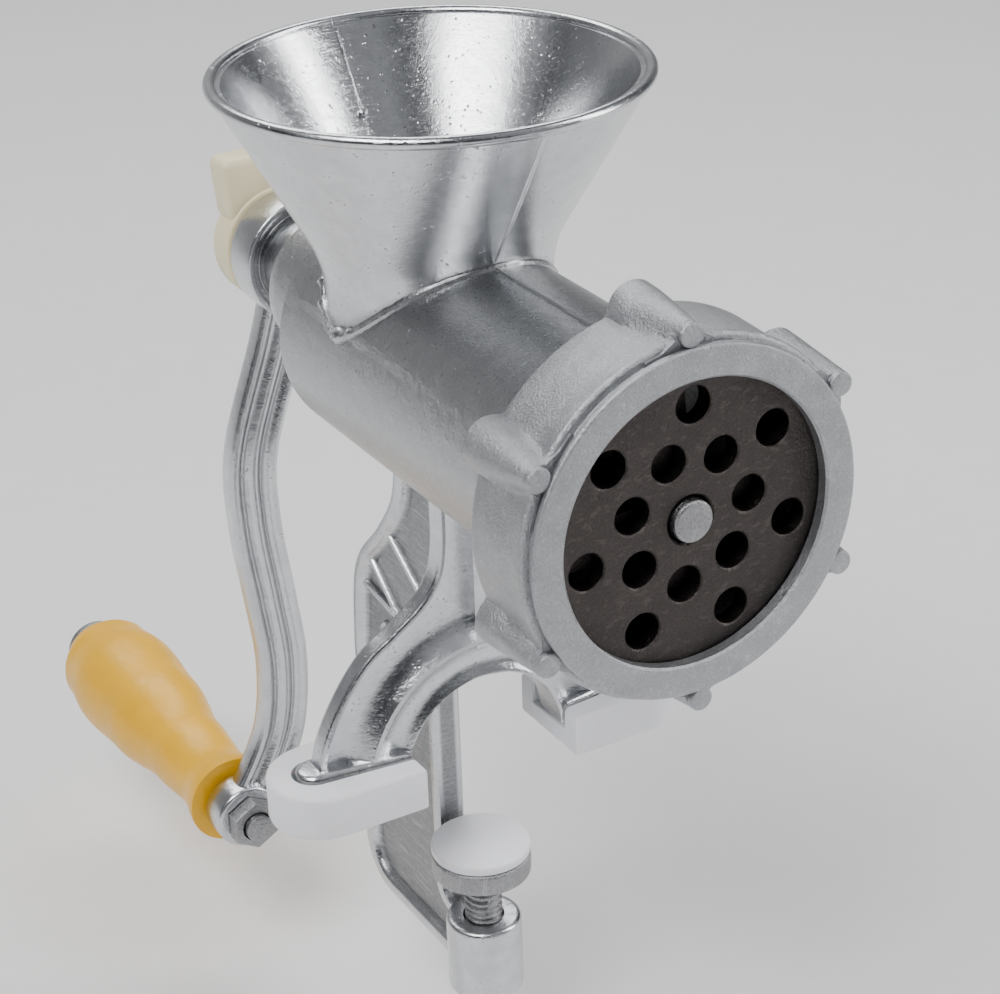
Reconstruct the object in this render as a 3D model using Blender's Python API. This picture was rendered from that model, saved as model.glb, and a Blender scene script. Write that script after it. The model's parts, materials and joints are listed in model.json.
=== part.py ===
"""Hand crank meat grinder that clamps to the edge of a table.

Metres, +Z up. The origin is on the table's top, at its edge, under the middle of the barrel: the two
shoes stand on Z = 0, the clamp arm's front face meets the table's edge at Y = 0, and the front of the
grinder, with its hole plate, points to -Y. The barrel's axis runs along Y. X is right as seen from
the front.
"""
import bpy
import bmesh
from math import asin, atan2, cos, pi, radians, sin, sqrt, tan, tau
from mathutils import Matrix, Vector

MM = 0.001

# Overall sizes and places
AXIS_HEIGHT = 110.0 * MM          # barrel axis above the table
BARREL_FRONT = -108.5 * MM        # front of the threaded head
BARREL_REAR = 20.5 * MM           # flat rear end of the barrel
NECK_REAR = 48.6 * MM             # rear end of the bearing neck
HOPPER_Y = -7.0 * MM              # vertical axis of the hopper
HOPPER_HEIGHT = 70.6 * MM         # rim above the barrel axis
CRANK_CHORD = 167.5 * MM          # drive axis to grip axis
CRANK_REST = radians(9.97)        # rest angle of the arm from straight down, towards -X
CLAMP_DEPTH = 50.0 * MM           # table top to the lower arm
BOARD = 25.0 * MM                 # thickness that the clamp is set to at rest

# Walls, radii and lengths of the casting
WALL = 3.0 * MM
BARREL_R = 30.1 * MM
HEAD_WALL = 2.3 * MM              # wall of the threaded head round the plate
HEAD_LENGTH = 13.0 * MM
HEAD_SHOULDER = 8.0 * MM          # length of the cone behind the head
KNIFE_GAP = 2.7 * MM              # behind the knife, to the step of the bore
REAR_WALL = 6.0 * MM
NECK_WALL = 7.2 * MM              # round the bush
HOPPER_RIM_R = 51.6 * MM
HOPPER_INSET = 2.3 * MM           # neck radius less than the barrel's
HOPPER_SLOPE = radians(28.4)      # cone, from the vertical
HOPPER_BEND_R = 29.0 * MM         # bend between neck and cone
HOPPER_NARROW = 0.88              # the neck's depth as a share of its width
LIP_R = 1.4 * MM

# Legs, feet and shoes
LEG_Y = -15.5 * MM                # middle plane of both legs
LEG_DEPTH = 9.0 * MM              # over the outer rim
WEB = 4.0 * MM
RIM = 2.0 * MM
ARCH_R = 22.3 * MM
ARCH_Z = 5.0 * MM
ARCH_BAND = 10.5 * MM             # height of the arch's flange
ARCH_DEPTH = 12.0 * MM
STEM_HALF = 9.6 * MM
SHOE_HEIGHT = 12.0 * MM
SHOE_FLOOR = 5.5 * MM
SHOE_SIDE = 5.5 * MM              # shoe beyond the foot, front and back
SHOE_LAP = 0.8 * MM               # shoe beyond the arch's edge
SHOE_OUT = 57.5 * MM
SHOE_TOE = 7.0 * MM               # shoe beyond the foot's toe
FOOT_HEIGHT = 4.7 * MM
FOOT_DEPTH = 16.0 * MM

# Clamp
ARM_BACK = 45.0 * MM
ARM_HALF = 4.0 * MM
ARM_WEB = 3.0 * MM
ARM_FLANGE = 4.0 * MM
BOSS_WALL = 4.5 * MM
BOSS_HEIGHT = 22.0 * MM
SCREW_R = 5.0 * MM
SCREW_BELOW = 20.0 * MM           # screw between boss and handle at rest
PAD_WALL = 7.1 * MM               # pad round the screw's rivet head
PAD_THICK = 6.0 * MM
LINER_THICK = 2.5 * MM
SPIGOT_R = 3.5 * MM
RIVET_LAP = 2.1 * MM              # rivet head beyond the spigot
RIVET_THICK = 2.0 * MM
WING_SPAN = 50.0 * MM
WING_HUB_WALL = 3.7 * MM
WING_HUB_HEIGHT = 16.0 * MM
WING_THICK = 5.5 * MM
CROSS_PIN_R = 1.5 * MM

# Cutting set and ring
PLATE_R = 35.0 * MM
PLATE_THICK = 5.0 * MM
PLATE_HOLE_R = 4.2 * MM
OUTER_ROW_IN = 9.2 * MM           # outer row of holes from the plate's edge
ROW_STEP = 10.9 * MM              # from the outer row to the inner row
HOLES_PER_ROW = 7
INNER_START = radians(110.4)
OUTER_START = radians(88.3)
KEY_R = 1.6 * MM
KNIFE_CLEAR = 4.3 * MM            # knife tips to the seat
KNIFE_THICK = 6.0 * MM
RING_WALL = 2.5 * MM
RING_TAPER = 1.0 * MM             # front flange less than the skirt
PLATE_LAP = 2.55 * MM             # lip over the plate's edge
RING_LIP = 3.0 * MM
RING_LENGTH = 23.0 * MM
LUGS = 6
LUG_START = radians(91.7)
LUG_R = 6.0 * MM
LUG_RISE_BACK = 6.4 * MM          # lug above the skirt
LUG_RISE_FRONT = 4.2 * MM
BUTTON_R = 3.0 * MM
BUTTON_RISE = 1.8 * MM            # button's middle above the skirt
BUTTON_SET_BACK = 0.7 * MM         # of the button's face from the ring's front

# Auger
FLIGHT_PITCH = 40.0 * MM
FLIGHT_LAND = radians(60)
CORE_STEP = 1.0 * MM              # auger core above the shaft
SHAFT_R = 8.0 * MM
DRIVE_SQUARE_SHARE = 1.325        # squares as a share of the shaft's radius
KNIFE_SQUARE_SHARE = 1.3
PIN_R = 4.8 * MM
PIN_PROUD = 1.5 * MM
BUSH_WALL = 3.6 * MM
WASHER_THICK = 2.0 * MM

# Crank, wing screw and grip
ARM_WIDE = 14.0 * MM
ARM_THICK = 8.0 * MM
ARM_GROOVE = 1.6 * MM
HUB_R = 17.3 * MM
HUB_LENGTH = 11.5 * MM
HUB_NOSE_WALL = 4.7 * MM
HUB_GAP = 2.0 * MM                # between bearing neck and hub nose
HUB_FROM_NECK = 17.9 * MM         # from the neck's rear end
GRIP_BOSS_R = 9.5 * MM
STUD_R = 4.0 * MM
STUD_HEAD_R = 6.5 * MM
STUD_HEAD = 5.0 * MM
WING_BASE_R = 17.4 * MM
WING_BASE = 9.0 * MM
WING_TOP = 26.0 * MM              # paddle's ends from the drive axis
WING_END_HALF = 15.5 * MM
WING_MID_HALF = 14.5 * MM
WING_DEPTH = 10.0 * MM
GRIP_LENGTH = 103.0 * MM
GRIP_R = 16.8 * MM
GRIP_WAIST_R = 10.8 * MM
GRIP_BASE_R = 13.0 * MM
SPINDLE_R = 4.0 * MM
CAP_R = 9.0 * MM
CAP_THICK = 3.0 * MM
NUT_R = 7.5 * MM
NUT_THICK = 5.0 * MM

# Clearances
TOUCH = 0.3 * MM                  # between pieces that rest on each other
RUN = 0.4 * MM                    # round a shaft that turns
THREAD = 0.5 * MM                 # between threads that are drawn plain
SWEEP = 0.9 * MM                  # auger flight to bore

ROUND = 36                        # facets of a large round
SMALL = 16                        # facets of a small round


# Places that follow from the sizes
HOPPER_TOP = AXIS_HEIGHT + HOPPER_HEIGHT
HOPPER_NECK_R = BARREL_R - HOPPER_INSET
BORE_R = BARREL_R - WALL
SEAT_R = PLATE_R + TOUCH
HEAD_R = SEAT_R + HEAD_WALL
PLATE_BACK = BARREL_FRONT + 1.5 * MM
PLATE_FRONT = PLATE_BACK - PLATE_THICK
RING_FRONT = PLATE_FRONT - TOUCH - RING_LIP
KNIFE_FRONT = PLATE_BACK + TOUCH
KNIFE_BACK = KNIFE_FRONT + KNIFE_THICK
SEAT_BACK = KNIFE_BACK + KNIFE_GAP
KEY_FRONT = PLATE_BACK - 3 * MM
KEY_BACK = SEAT_BACK + 5 * MM
KNIFE_R = SEAT_R - KNIFE_CLEAR
OUTER_PITCH_R = PLATE_R - OUTER_ROW_IN
INNER_PITCH_R = OUTER_PITCH_R - ROW_STEP
RING_R = HEAD_R + THREAD + RING_WALL
RING_FRONT_R = RING_R - RING_TAPER
RING_APERTURE_R = PLATE_R - PLATE_LAP
LUG_BACK = RING_R + LUG_RISE_BACK
LUG_FRONT = RING_R + LUG_RISE_FRONT
BUTTON_AT = RING_R + BUTTON_RISE
REAR_INSIDE = BARREL_REAR - REAR_WALL
BUSH_R = SHAFT_R + RUN + BUSH_WALL
NECK_R = BUSH_R + TOUCH + NECK_WALL
AUGER_CORE_R = SHAFT_R + CORE_STEP
DRIVE_SQUARE = SHAFT_R * DRIVE_SQUARE_SHARE
KNIFE_SQUARE = SHAFT_R * KNIFE_SQUARE_SHARE
HUB_FRONT = NECK_REAR + HUB_FROM_NECK
HUB_BACK = HUB_FRONT + HUB_LENGTH
HUB_NOSE_R = SHAFT_R + TOUCH + HUB_NOSE_WALL
SHOE_IN = ARCH_R - SHOE_LAP
SHOE_DEPTH = FOOT_DEPTH + 2 * SHOE_SIDE
FOOT_OUT = SHOE_OUT - SHOE_TOE
BOSS_R = SCREW_R + THREAD + BOSS_WALL
RIVET_R = SPIGOT_R + RIVET_LAP
PAD_R = RIVET_R + TOUCH + PAD_WALL
WING_HUB_R = SCREW_R + TOUCH + WING_HUB_WALL
WING_SEAT = HUB_BACK + TOUCH + WASHER_THICK + TOUCH
GRIP_X = -CRANK_CHORD * sin(CRANK_REST)
GRIP_Z = AXIS_HEIGHT - CRANK_CHORD * cos(CRANK_REST)
ARM_FRONT = HUB_BACK - ARM_THICK
GRIP_FRONT = HUB_BACK + 2.5 * MM
DRIVE = Vector((0, 0, AXIS_HEIGHT))
GRIP = Vector((GRIP_X, 0, GRIP_Z))
SCREW = Vector((0, LEG_Y, 0))
PAD_TOP = -BOARD
BOSS_TOP = 2.0 * MM - CLAMP_DEPTH
BOSS_BOTTOM = BOSS_TOP - BOSS_HEIGHT
HANDLE_TOP = BOSS_BOTTOM - SCREW_BELOW
SIDES = (("left", -1), ("right", 1))


# ---------------------------------------------------------------- shape helpers

def smooth_path(points, steps):
    """Points along a smooth curve through the given ones (Catmull-Rom)."""
    ends = [2 * Vector(points[0]) - Vector(points[1])] + [Vector(p) for p in points]
    ends.append(2 * Vector(points[-1]) - Vector(points[-2]))
    path = []
    for a, b, c, d in zip(ends, ends[1:], ends[2:], ends[3:]):
        for step in range(steps):
            t = step / steps
            path.append(0.5 * (2 * b + (c - a) * t + (2 * a - 5 * b + 4 * c - d) * t * t
                               + (3 * b - a - 3 * c + d) * t ** 3))
    path.append(ends[-2])
    return path


def arc(centre, radius, start, end, steps):
    """Points on an arc in a plane, angles from the first axis."""
    span = (end - start) / steps
    return [Vector((centre[0] + radius * cos(start + span * i),
                    centre[1] + radius * sin(start + span * i))) for i in range(steps + 1)]


def side_step(path, distance):
    """An open path moved sideways, to its left where distance is positive."""
    moved = []
    for i, point in enumerate(path):
        run = path[min(i + 1, len(path) - 1)] - path[max(i - 1, 0)]
        moved.append(point + distance * Vector((-run.y, run.x)).normalized())
    return moved


def shrink(outline, distance):
    """A closed counter-clockwise outline with every side moved inwards."""
    count = len(outline)
    result = []
    for i, point in enumerate(outline):
        before = (point - outline[i - 1]).normalized()
        after = (outline[(i + 1) % count] - point).normalized()
        normal = Vector((-before.y - after.y, before.x + after.x))
        cosine = max(0.3, normal.length / 2)
        result.append(point + normal.normalized() * distance / cosine)
    return result


def finish_bmesh(bm):
    bmesh.ops.remove_doubles(bm, verts=bm.verts, dist=1e-6)
    bmesh.ops.recalc_face_normals(bm, faces=bm.faces)
    return bm


def prism(outline, axis, low, high):
    """A flat outline pushed out along X, Y or Z. The outline's own axes are the other two, in order."""
    bm = bmesh.new()
    index = "XYZ".index(axis)
    verts = []
    for point in outline:
        place = [point[0], point[1]]
        place.insert(index, low)
        verts.append(bm.verts.new(place))
    face = bm.faces.new(verts)
    grown = bmesh.ops.extrude_face_region(bm, geom=[face])["geom"]
    shift = Vector((0, 0, 0))
    shift[index] = high - low
    bmesh.ops.translate(bm, vec=shift, verts=[g for g in grown if isinstance(g, bmesh.types.BMVert)])
    return finish_bmesh(bm)


def block(low, high):
    return prism([(low[0], low[1]), (high[0], low[1]), (high[0], high[1]), (low[0], high[1])],
                 "Z", low[2], high[2])


def turned(profile, axis, centre, facets, closed=False):
    """A profile of (radius, place along the axis) spun about X, Y or Z through centre."""
    bm = bmesh.new()
    spin_axis = Vector([float(letter == axis) for letter in "XYZ"])
    out = Vector((0, 0, 1)) if axis != "Z" else Vector((1, 0, 0))
    base = Vector(centre) - Vector(centre).dot(spin_axis) * spin_axis
    verts = [bm.verts.new(base + out * r + spin_axis * t) for r, t in profile]
    edges = [bm.edges.new(pair) for pair in zip(verts, verts[1:])]
    if closed:
        edges.append(bm.edges.new((verts[-1], verts[0])))
    bmesh.ops.spin(bm, geom=verts + edges, cent=base, axis=spin_axis, angle=tau, steps=facets,
                   use_merge=True)
    bmesh.ops.remove_doubles(bm, verts=bm.verts, dist=1e-6)
    bmesh.ops.dissolve_degenerate(bm, edges=bm.edges, dist=1e-7)
    return finish_bmesh(bm)


def rod(radius, axis, centre, low, high, facets=SMALL, edge=0.0):
    """A solid round bar, with its ends chamfered by edge."""
    profile = [(0, high), (radius - edge, high), (radius, high - edge),
               (radius, low + edge), (radius - edge, low), (0, low)]
    return turned(profile, axis, centre, facets)


def tube(outer, inner, axis, centre, low, high, facets=ROUND):
    return turned([(inner, high), (outer, high), (outer, low), (inner, low)], axis, centre, facets,
                  closed=True)


def to_object(name, bm):
    mesh = bpy.data.meshes.new(name)
    bm.to_mesh(mesh)
    bm.free()
    piece = bpy.data.objects.new(name, mesh)
    bpy.context.scene.collection.objects.link(piece)
    return piece


def combine(base, others, operation):
    """Boolean of the base bmesh with each other one in turn. Gives back a bmesh."""
    work = to_object("work", base)
    for other in others:
        tool = to_object("tool", other)
        change = work.modifiers.new(operation, "BOOLEAN")
        change.operation = operation
        change.solver = "EXACT"
        change.object = tool
        bpy.context.view_layer.update()
        ready = work.evaluated_get(bpy.context.evaluated_depsgraph_get())
        mesh = bpy.data.meshes.new_from_object(ready)
        work.modifiers.clear()
        work.data = mesh
        bpy.data.objects.remove(tool)
    result = bmesh.new()
    result.from_mesh(work.data)
    bpy.data.objects.remove(work)
    return result


def join(base, *others):
    return combine(base, others, "UNION")


def cut(base, *others):
    return combine(base, others, "DIFFERENCE")


# ---------------------------------------------------------------- materials and placing

FINISHES = {
    "cast_aluminium": ((0.78, 0.79, 0.80), 0.30, 1.0),
    "plate_steel": ((0.36, 0.33, 0.31), 0.35, 1.0),
    "turned_steel": ((0.60, 0.60, 0.60), 0.30, 1.0),
    "yellow_plastic": ((0.86, 0.52, 0.04), 0.40, 0.0),
    "cream_plastic": ((0.84, 0.79, 0.62), 0.40, 0.0),
    "white_plastic": ((0.86, 0.86, 0.90), 0.35, 0.0),
    "brown_bush": ((0.45, 0.30, 0.14), 0.50, 0.0),
}


def material_for(name, finish):
    colour, roughness, metallic = FINISHES[finish]
    material = bpy.data.materials.new(name)
    material.use_nodes = True
    shader = material.node_tree.nodes["Principled BSDF"]
    shader.inputs["Base Color"].default_value = (*colour, 1)
    shader.inputs["Roughness"].default_value = roughness
    shader.inputs["Metallic"].default_value = metallic
    return material


def place(name, bm, finish, pivot=Vector((0, 0, 0)), parent=None):
    """Makes the named piece. Its origin goes to pivot, which is on its joint's axis."""
    bmesh.ops.translate(bm, vec=-pivot, verts=bm.verts)
    bmesh.ops.dissolve_limit(bm, angle_limit=radians(0.4), verts=bm.verts, edges=bm.edges)
    bmesh.ops.triangulate(bm, faces=bm.faces)
    piece = to_object(name, bm)
    piece.data.shade_smooth()
    piece.data.set_sharp_from_angle(angle=radians(35))
    piece.data.materials.append(material_for(name, finish))
    piece.location = pivot
    attach(piece, parent)
    return piece


def attach(child, parent):
    """Hangs a child on a parent, with the child's location still given in the world."""
    if parent:
        bpy.context.view_layer.update()
        child.parent = parent
        child.matrix_parent_inverse = parent.matrix_world.inverted()


def guide(name, location, parent=None):
    empty = bpy.data.objects.new(name, None)
    empty.empty_display_size = 20 * MM
    bpy.context.scene.collection.objects.link(empty)
    empty.location = location
    attach(empty, parent)
    return empty


# ---------------------------------------------------------------- the casting

def hopper_radius(height, inset):
    """Radius of the hopper at a height, moved inwards by a wall thickness."""
    cone_in = inset / cos(HOPPER_SLOPE)
    bend_top_r = HOPPER_NECK_R + HOPPER_BEND_R * (1 - cos(HOPPER_SLOPE))
    bend_top = HOPPER_TOP - (HOPPER_RIM_R - bend_top_r) / tan(HOPPER_SLOPE)
    bend_low = bend_top - HOPPER_BEND_R * sin(HOPPER_SLOPE)
    if height > bend_top:
        return HOPPER_RIM_R - (HOPPER_TOP - height) * tan(HOPPER_SLOPE) - cone_in
    share = max(0.0, (height - bend_low) / HOPPER_BEND_R)
    return HOPPER_NECK_R + HOPPER_BEND_R * (1 - sqrt(1 - share * share)) - inset


def hopper_solid(inset, low, high, levels):
    """The hopper's outside, or its inside where inset is the wall."""
    profile = [(0, high)]
    for step in range(levels + 1):
        height = high - (high - low) * step / levels
        profile.append((hopper_radius(height, inset), height))
    profile.append((0, low))
    bm = turned(profile, "Z", (0, HOPPER_Y, 0), ROUND)
    narrow_low = AXIS_HEIGHT + BARREL_R
    for vert in bm.verts:
        share = min(1.0, max(0.0, (vert.co.z - narrow_low) / (HOPPER_TOP - LIP_R - narrow_low)))
        depth = HOPPER_NARROW + (1 - HOPPER_NARROW) * sin(share * pi / 2)
        vert.co.y = HOPPER_Y + (vert.co.y - HOPPER_Y) * depth
    return bm


def barrel_outside():
    shoulder = BARREL_FRONT + HEAD_LENGTH
    edge = 1 * MM
    profile = [(0, NECK_REAR), (NECK_R - edge, NECK_REAR), (NECK_R, NECK_REAR - edge),
               (NECK_R, BARREL_REAR)]
    profile += [(BARREL_R - 2 * edge + p.x, BARREL_REAR - 2 * edge + p.y)
                for p in arc((0, 0), 2 * edge, pi / 2, 0, 3)]
    profile += [(BARREL_R, shoulder + HEAD_SHOULDER), (HEAD_R, shoulder), (HEAD_R, BARREL_FRONT + edge),
                (HEAD_R - edge, BARREL_FRONT), (0, BARREL_FRONT)]
    return turned(profile, "Y", DRIVE, ROUND)


def barrel_inside():
    beyond = 5 * MM
    profile = [(0, NECK_REAR + beyond), (BUSH_R + TOUCH, NECK_REAR + beyond), (BUSH_R + TOUCH, REAR_INSIDE),
               (BORE_R, REAR_INSIDE), (BORE_R, SEAT_BACK), (SEAT_R, SEAT_BACK),
               (SEAT_R, BARREL_FRONT - beyond), (0, BARREL_FRONT - beyond)]
    return turned(profile, "Y", DRIVE, ROUND)


def leg_edge():
    """The outer edge of the right leg, from the barrel down to the foot, as (x, z)."""
    return smooth_path([(STEM_HALF, AXIS_HEIGHT - 22 * MM), (STEM_HALF, 63 * MM),
                        (13.5 * MM, 52.5 * MM), (22.3 * MM, 45.5 * MM), (31 * MM, 39.5 * MM),
                        (38.5 * MM, 30 * MM), (44 * MM, 19 * MM), (FOOT_OUT - 4.5 * MM, 8 * MM)], 3)


def arch_arc(radius, low):
    """Half a circle about the arch's centre, from right to left, that starts and ends at height low."""
    start = asin((low - ARCH_Z) / radius)
    return arc((0, ARCH_Z), radius, start, pi - start, 16)


def legs():
    """Stem, arch and both legs: a rimmed web with a deep flange round the arch and a rib up the stem."""
    edge = leg_edge()
    mirrored = [Vector((-p.x, p.y)) for p in edge]
    foot_low = SHOE_FLOOR + TOUCH
    arch = arch_arc(ARCH_R, foot_low)
    outline = [*mirrored, Vector((-edge[-1].x, foot_low)), *reversed(arch),
               Vector((edge[-1].x, foot_low)), *reversed(edge)]
    plate = prism(outline, "Y", LEG_Y - LEG_DEPTH / 2, LEG_Y + LEG_DEPTH / 2)
    inner = side_step(edge, -RIM)
    half_rib = 2.2 * MM
    band = ARCH_R + ARCH_BAND
    low = FOOT_HEIGHT + SHOE_FLOOR + 2 * MM
    inner = [p for p in inner if p.y > low]
    foot_angle = atan2(low - ARCH_Z, band)
    top_angle = pi / 2 - half_rib / band
    pocket = [*inner, Vector((inner[-1].x, low)), *arc((0, ARCH_Z), band, foot_angle, top_angle, 8),
              Vector((half_rib, AXIS_HEIGHT - 22 * MM))]
    cutters = []
    for side in (-1, 1):
        shape = [Vector((side * p.x, p.y)) for p in pocket]
        cutters.append(prism(shape, "Y", LEG_Y - LEG_DEPTH, LEG_Y - WEB / 2))
        cutters.append(prism(shape, "Y", LEG_Y + WEB / 2, LEG_Y + LEG_DEPTH))
    plate = cut(plate, *cutters)
    flange = [*arch, *reversed(arch_arc(band, foot_low))]
    front, back = LEG_Y - ARCH_DEPTH / 2, LEG_Y + ARCH_DEPTH / 2
    rib = block((-half_rib, front, ARCH_Z + band - 2 * MM), (half_rib, back, AXIS_HEIGHT - 24 * MM))
    return join(plate, prism(flange, "Y", front, back), rib, foot(-1), foot(1))


def foot_outline(grow):
    """A foot seen from above, for the right leg: wide at the arch and rounded at the toe."""
    half = FOOT_DEPTH / 2 + grow
    toe = half - 3 * MM
    end = FOOT_OUT + grow
    start = ARCH_R - grow
    points = [Vector((start, LEG_Y - half))]
    points += arc((end - toe, LEG_Y), toe, -pi / 2, pi / 2, 8)
    points.append(Vector((start, LEG_Y + half)))
    return points


def foot(side):
    outline = [(side * p.x, p.y) for p in foot_outline(0)]
    return prism(outline, "Z", SHOE_FLOOR + TOUCH, SHOE_FLOOR + TOUCH + FOOT_HEIGHT)


def arm_outline():
    """The clamp arm from the side, as (y, z), clockwise from the top of its front edge."""
    top = AXIS_HEIGHT - 24 * MM
    lower = -CLAMP_DEPTH
    back = [Vector((15 * MM, top))]
    back += smooth_path([(15 * MM, 75 * MM), (18 * MM, 62 * MM), (27 * MM, 49.5 * MM),
                         (38 * MM, 38 * MM), (43 * MM, 27 * MM), (ARM_BACK, 8 * MM)], 3)
    corner = 14 * MM
    under = lower - BOSS_HEIGHT + 4 * MM
    back += reversed(arc((ARM_BACK - corner, under + corner), corner, -pi / 2, 0, 5))
    inner_corner = 4 * MM
    front = [Vector((LEG_Y, under)), Vector((LEG_Y, lower))]
    front += arc((-inner_corner, lower + inner_corner), inner_corner, -pi / 2, 0, 3)
    front += [Vector((0, 14 * MM)), Vector((LEG_Y + WEB, ARCH_Z + ARCH_R + 4 * MM)),
              Vector((LEG_Y + WEB, top))]
    return back + front


def clamp_arm():
    outline = list(reversed(arm_outline()))
    body = prism([(p.x, p.y) for p in outline], "X", -ARM_HALF, ARM_HALF)
    pocket = shrink(outline, ARM_FLANGE)
    sides = [prism(pocket, "X", ARM_WEB / 2, 2 * ARM_HALF), prism(pocket, "X", -2 * ARM_HALF, -ARM_WEB / 2)]
    body = cut(body, *sides)
    gussets = []
    for start, end in (((24, 49), (-8, 29)), ((36, 38), (2, 12)), ((41, 28), (2, 22))):
        line = [Vector(start) * MM, Vector(end) * MM]
        half = 0.9 * MM
        outline = side_step(line, half) + list(reversed(side_step(line, -half)))
        gussets.append(prism(outline, "X", -ARM_HALF + 1 * MM, ARM_HALF - 1 * MM))
    boss = rod(BOSS_R, "Z", SCREW, BOSS_BOTTOM, BOSS_TOP, ROUND // 2, 1 * MM)
    return join(body, *gussets, boss)


def body_casting():
    bore = rod(SCREW_R + THREAD, "Z", SCREW, BOSS_BOTTOM - 5 * MM, BOSS_TOP + 5 * MM)
    shell = join(barrel_outside(), hopper_solid(0, AXIS_HEIGHT, HOPPER_TOP, 9), legs(), clamp_arm())
    inside = hopper_solid(WALL - 0.2 * MM, AXIS_HEIGHT - 2 * MM, HOPPER_TOP + 4 * MM, 9)
    key = rod(KEY_R + TOUCH, "Y", (0, 0, AXIS_HEIGHT - SEAT_R), KEY_FRONT - 1 * MM, KEY_BACK + TOUCH, 12)
    shell = cut(shell, barrel_inside(), inside, bore, key)
    place("body_casting", shell, "cast_aluminium")


def shoes():
    half = SHOE_DEPTH / 2
    for name, side in SIDES:
        outline = [Vector((side * SHOE_IN, LEG_Y - half))]
        outline += [Vector((side * p.x, p.y))
                    for p in arc((SHOE_OUT - half, LEG_Y), half, -pi / 2, pi / 2, 14)]
        outline.append(Vector((side * SHOE_IN, LEG_Y + half)))
        slab = prism(outline, "Z", 0, SHOE_HEIGHT)
        recess = foot_outline(2 * TOUCH)
        recess[0].x = recess[-1].x = SHOE_IN - 2 * MM
        pocket = prism([(side * p.x, p.y) for p in recess], "Z", SHOE_FLOOR, SHOE_HEIGHT + 5 * MM)
        place(name + "_shoe", cut(slab, pocket), "white_plastic")


def bearing_pieces():
    bush = turned([(SHAFT_R + RUN, NECK_REAR), (BUSH_R, NECK_REAR), (BUSH_R, REAR_INSIDE + TOUCH),
                   (SHAFT_R + RUN, REAR_INSIDE + TOUCH)], "Y", DRIVE, 24, closed=True)
    place("rear_bush", bush, "brown_bush", DRIVE)
    washer = tube(BORE_R - 2 * MM, SHAFT_R + RUN, "Y", DRIVE, REAR_INSIDE - TOUCH - WASHER_THICK,
                  REAR_INSIDE - TOUCH, 24)
    place("thrust_washer", washer, "white_plastic", DRIVE)
    pin = rod(KEY_R, "Y", (0, 0, AXIS_HEIGHT - SEAT_R), KEY_FRONT, KEY_BACK, 12)
    place("plate_key_pin", pin, "turned_steel")


# ---------------------------------------------------------------- what turns on the barrel's axis

def auger_section(y, reach):
    """The auger's outline at y: a round core with one flight, which turns as y goes back."""
    turn = (y - KNIFE_BACK) / FLIGHT_PITCH * tau
    ring = []
    for step in range(10):
        share = step / 9
        angle = turn + FLIGHT_LAND * (share - 0.5)
        rise = min(1.0, 2.5 * (1 - abs(2 * share - 1)))
        ring.append((AUGER_CORE_R + (reach - AUGER_CORE_R) * rise, angle))
    rest = tau - FLIGHT_LAND
    ring += [(AUGER_CORE_R, turn + FLIGHT_LAND / 2 + rest * (step + 1) / 12) for step in range(11)]
    return [Vector((r * cos(a), y, AXIS_HEIGHT + r * sin(a))) for r, a in ring]


def auger_body(front, back):
    bm = bmesh.new()
    reach = BORE_R - SWEEP
    stations = int((back - front) / (FLIGHT_PITCH / 14))
    rings = []
    for step in range(stations + 1):
        y = front + (back - front) * step / stations
        rings.append([bm.verts.new(p) for p in auger_section(y, reach)])
    for near, far in zip(rings, rings[1:]):
        for i in range(len(near)):
            j = (i + 1) % len(near)
            bm.faces.new((near[i], near[j], far[j], far[i]))
    bm.faces.new(rings[0])
    bm.faces.new(rings[-1])
    return finish_bmesh(bm)


def square_bar(side, low, high):
    half = side / 2
    return block((-half, low, AXIS_HEIGHT - half), (half, high, AXIS_HEIGHT + half))


def auger():
    front = SEAT_BACK + 3 * MM
    back = REAR_INSIDE - 2 * TOUCH - WASHER_THICK
    overlap = 4 * MM
    nose = rod(AUGER_CORE_R, "Y", DRIVE, KNIFE_BACK + TOUCH, front + overlap, 24)
    shaft = rod(SHAFT_R, "Y", DRIVE, back - overlap, HUB_FRONT - TOUCH, 24)
    square = square_bar(KNIFE_SQUARE, KNIFE_FRONT, KNIFE_BACK + overlap)
    pin = rod(PIN_R, "Y", DRIVE, PLATE_FRONT - PIN_PROUD, KNIFE_FRONT + 2 * MM, SMALL, 0.5 * MM)
    tang = square_bar(DRIVE_SQUARE, HUB_FRONT - overlap, HUB_BACK - 1 * MM)
    thread = rod(STUD_R + THREAD, "Y", DRIVE, HUB_FRONT - 20 * MM, HUB_BACK + 5 * MM, 12)
    shape = join(auger_body(front, back), nose, shaft, square, pin, tang)
    place("auger", cut(shape, thread), "turned_steel", DRIVE)


def knife_outline():
    """Four swept blades, each wide at the tip, with the leading edge nearly straight."""
    points = []
    for blade in range(4):
        turn = blade * pi / 2
        for radius, angle in ((10 * MM, -0.34), (KNIFE_R * 0.98, -0.06), (KNIFE_R, 0.1), (KNIFE_R * 0.98, 0.24),
                              (16 * MM, 0.42), (10 * MM, 0.75)):
            points.append((radius * cos(turn + angle), AXIS_HEIGHT + radius * sin(turn + angle)))
    return points


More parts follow.
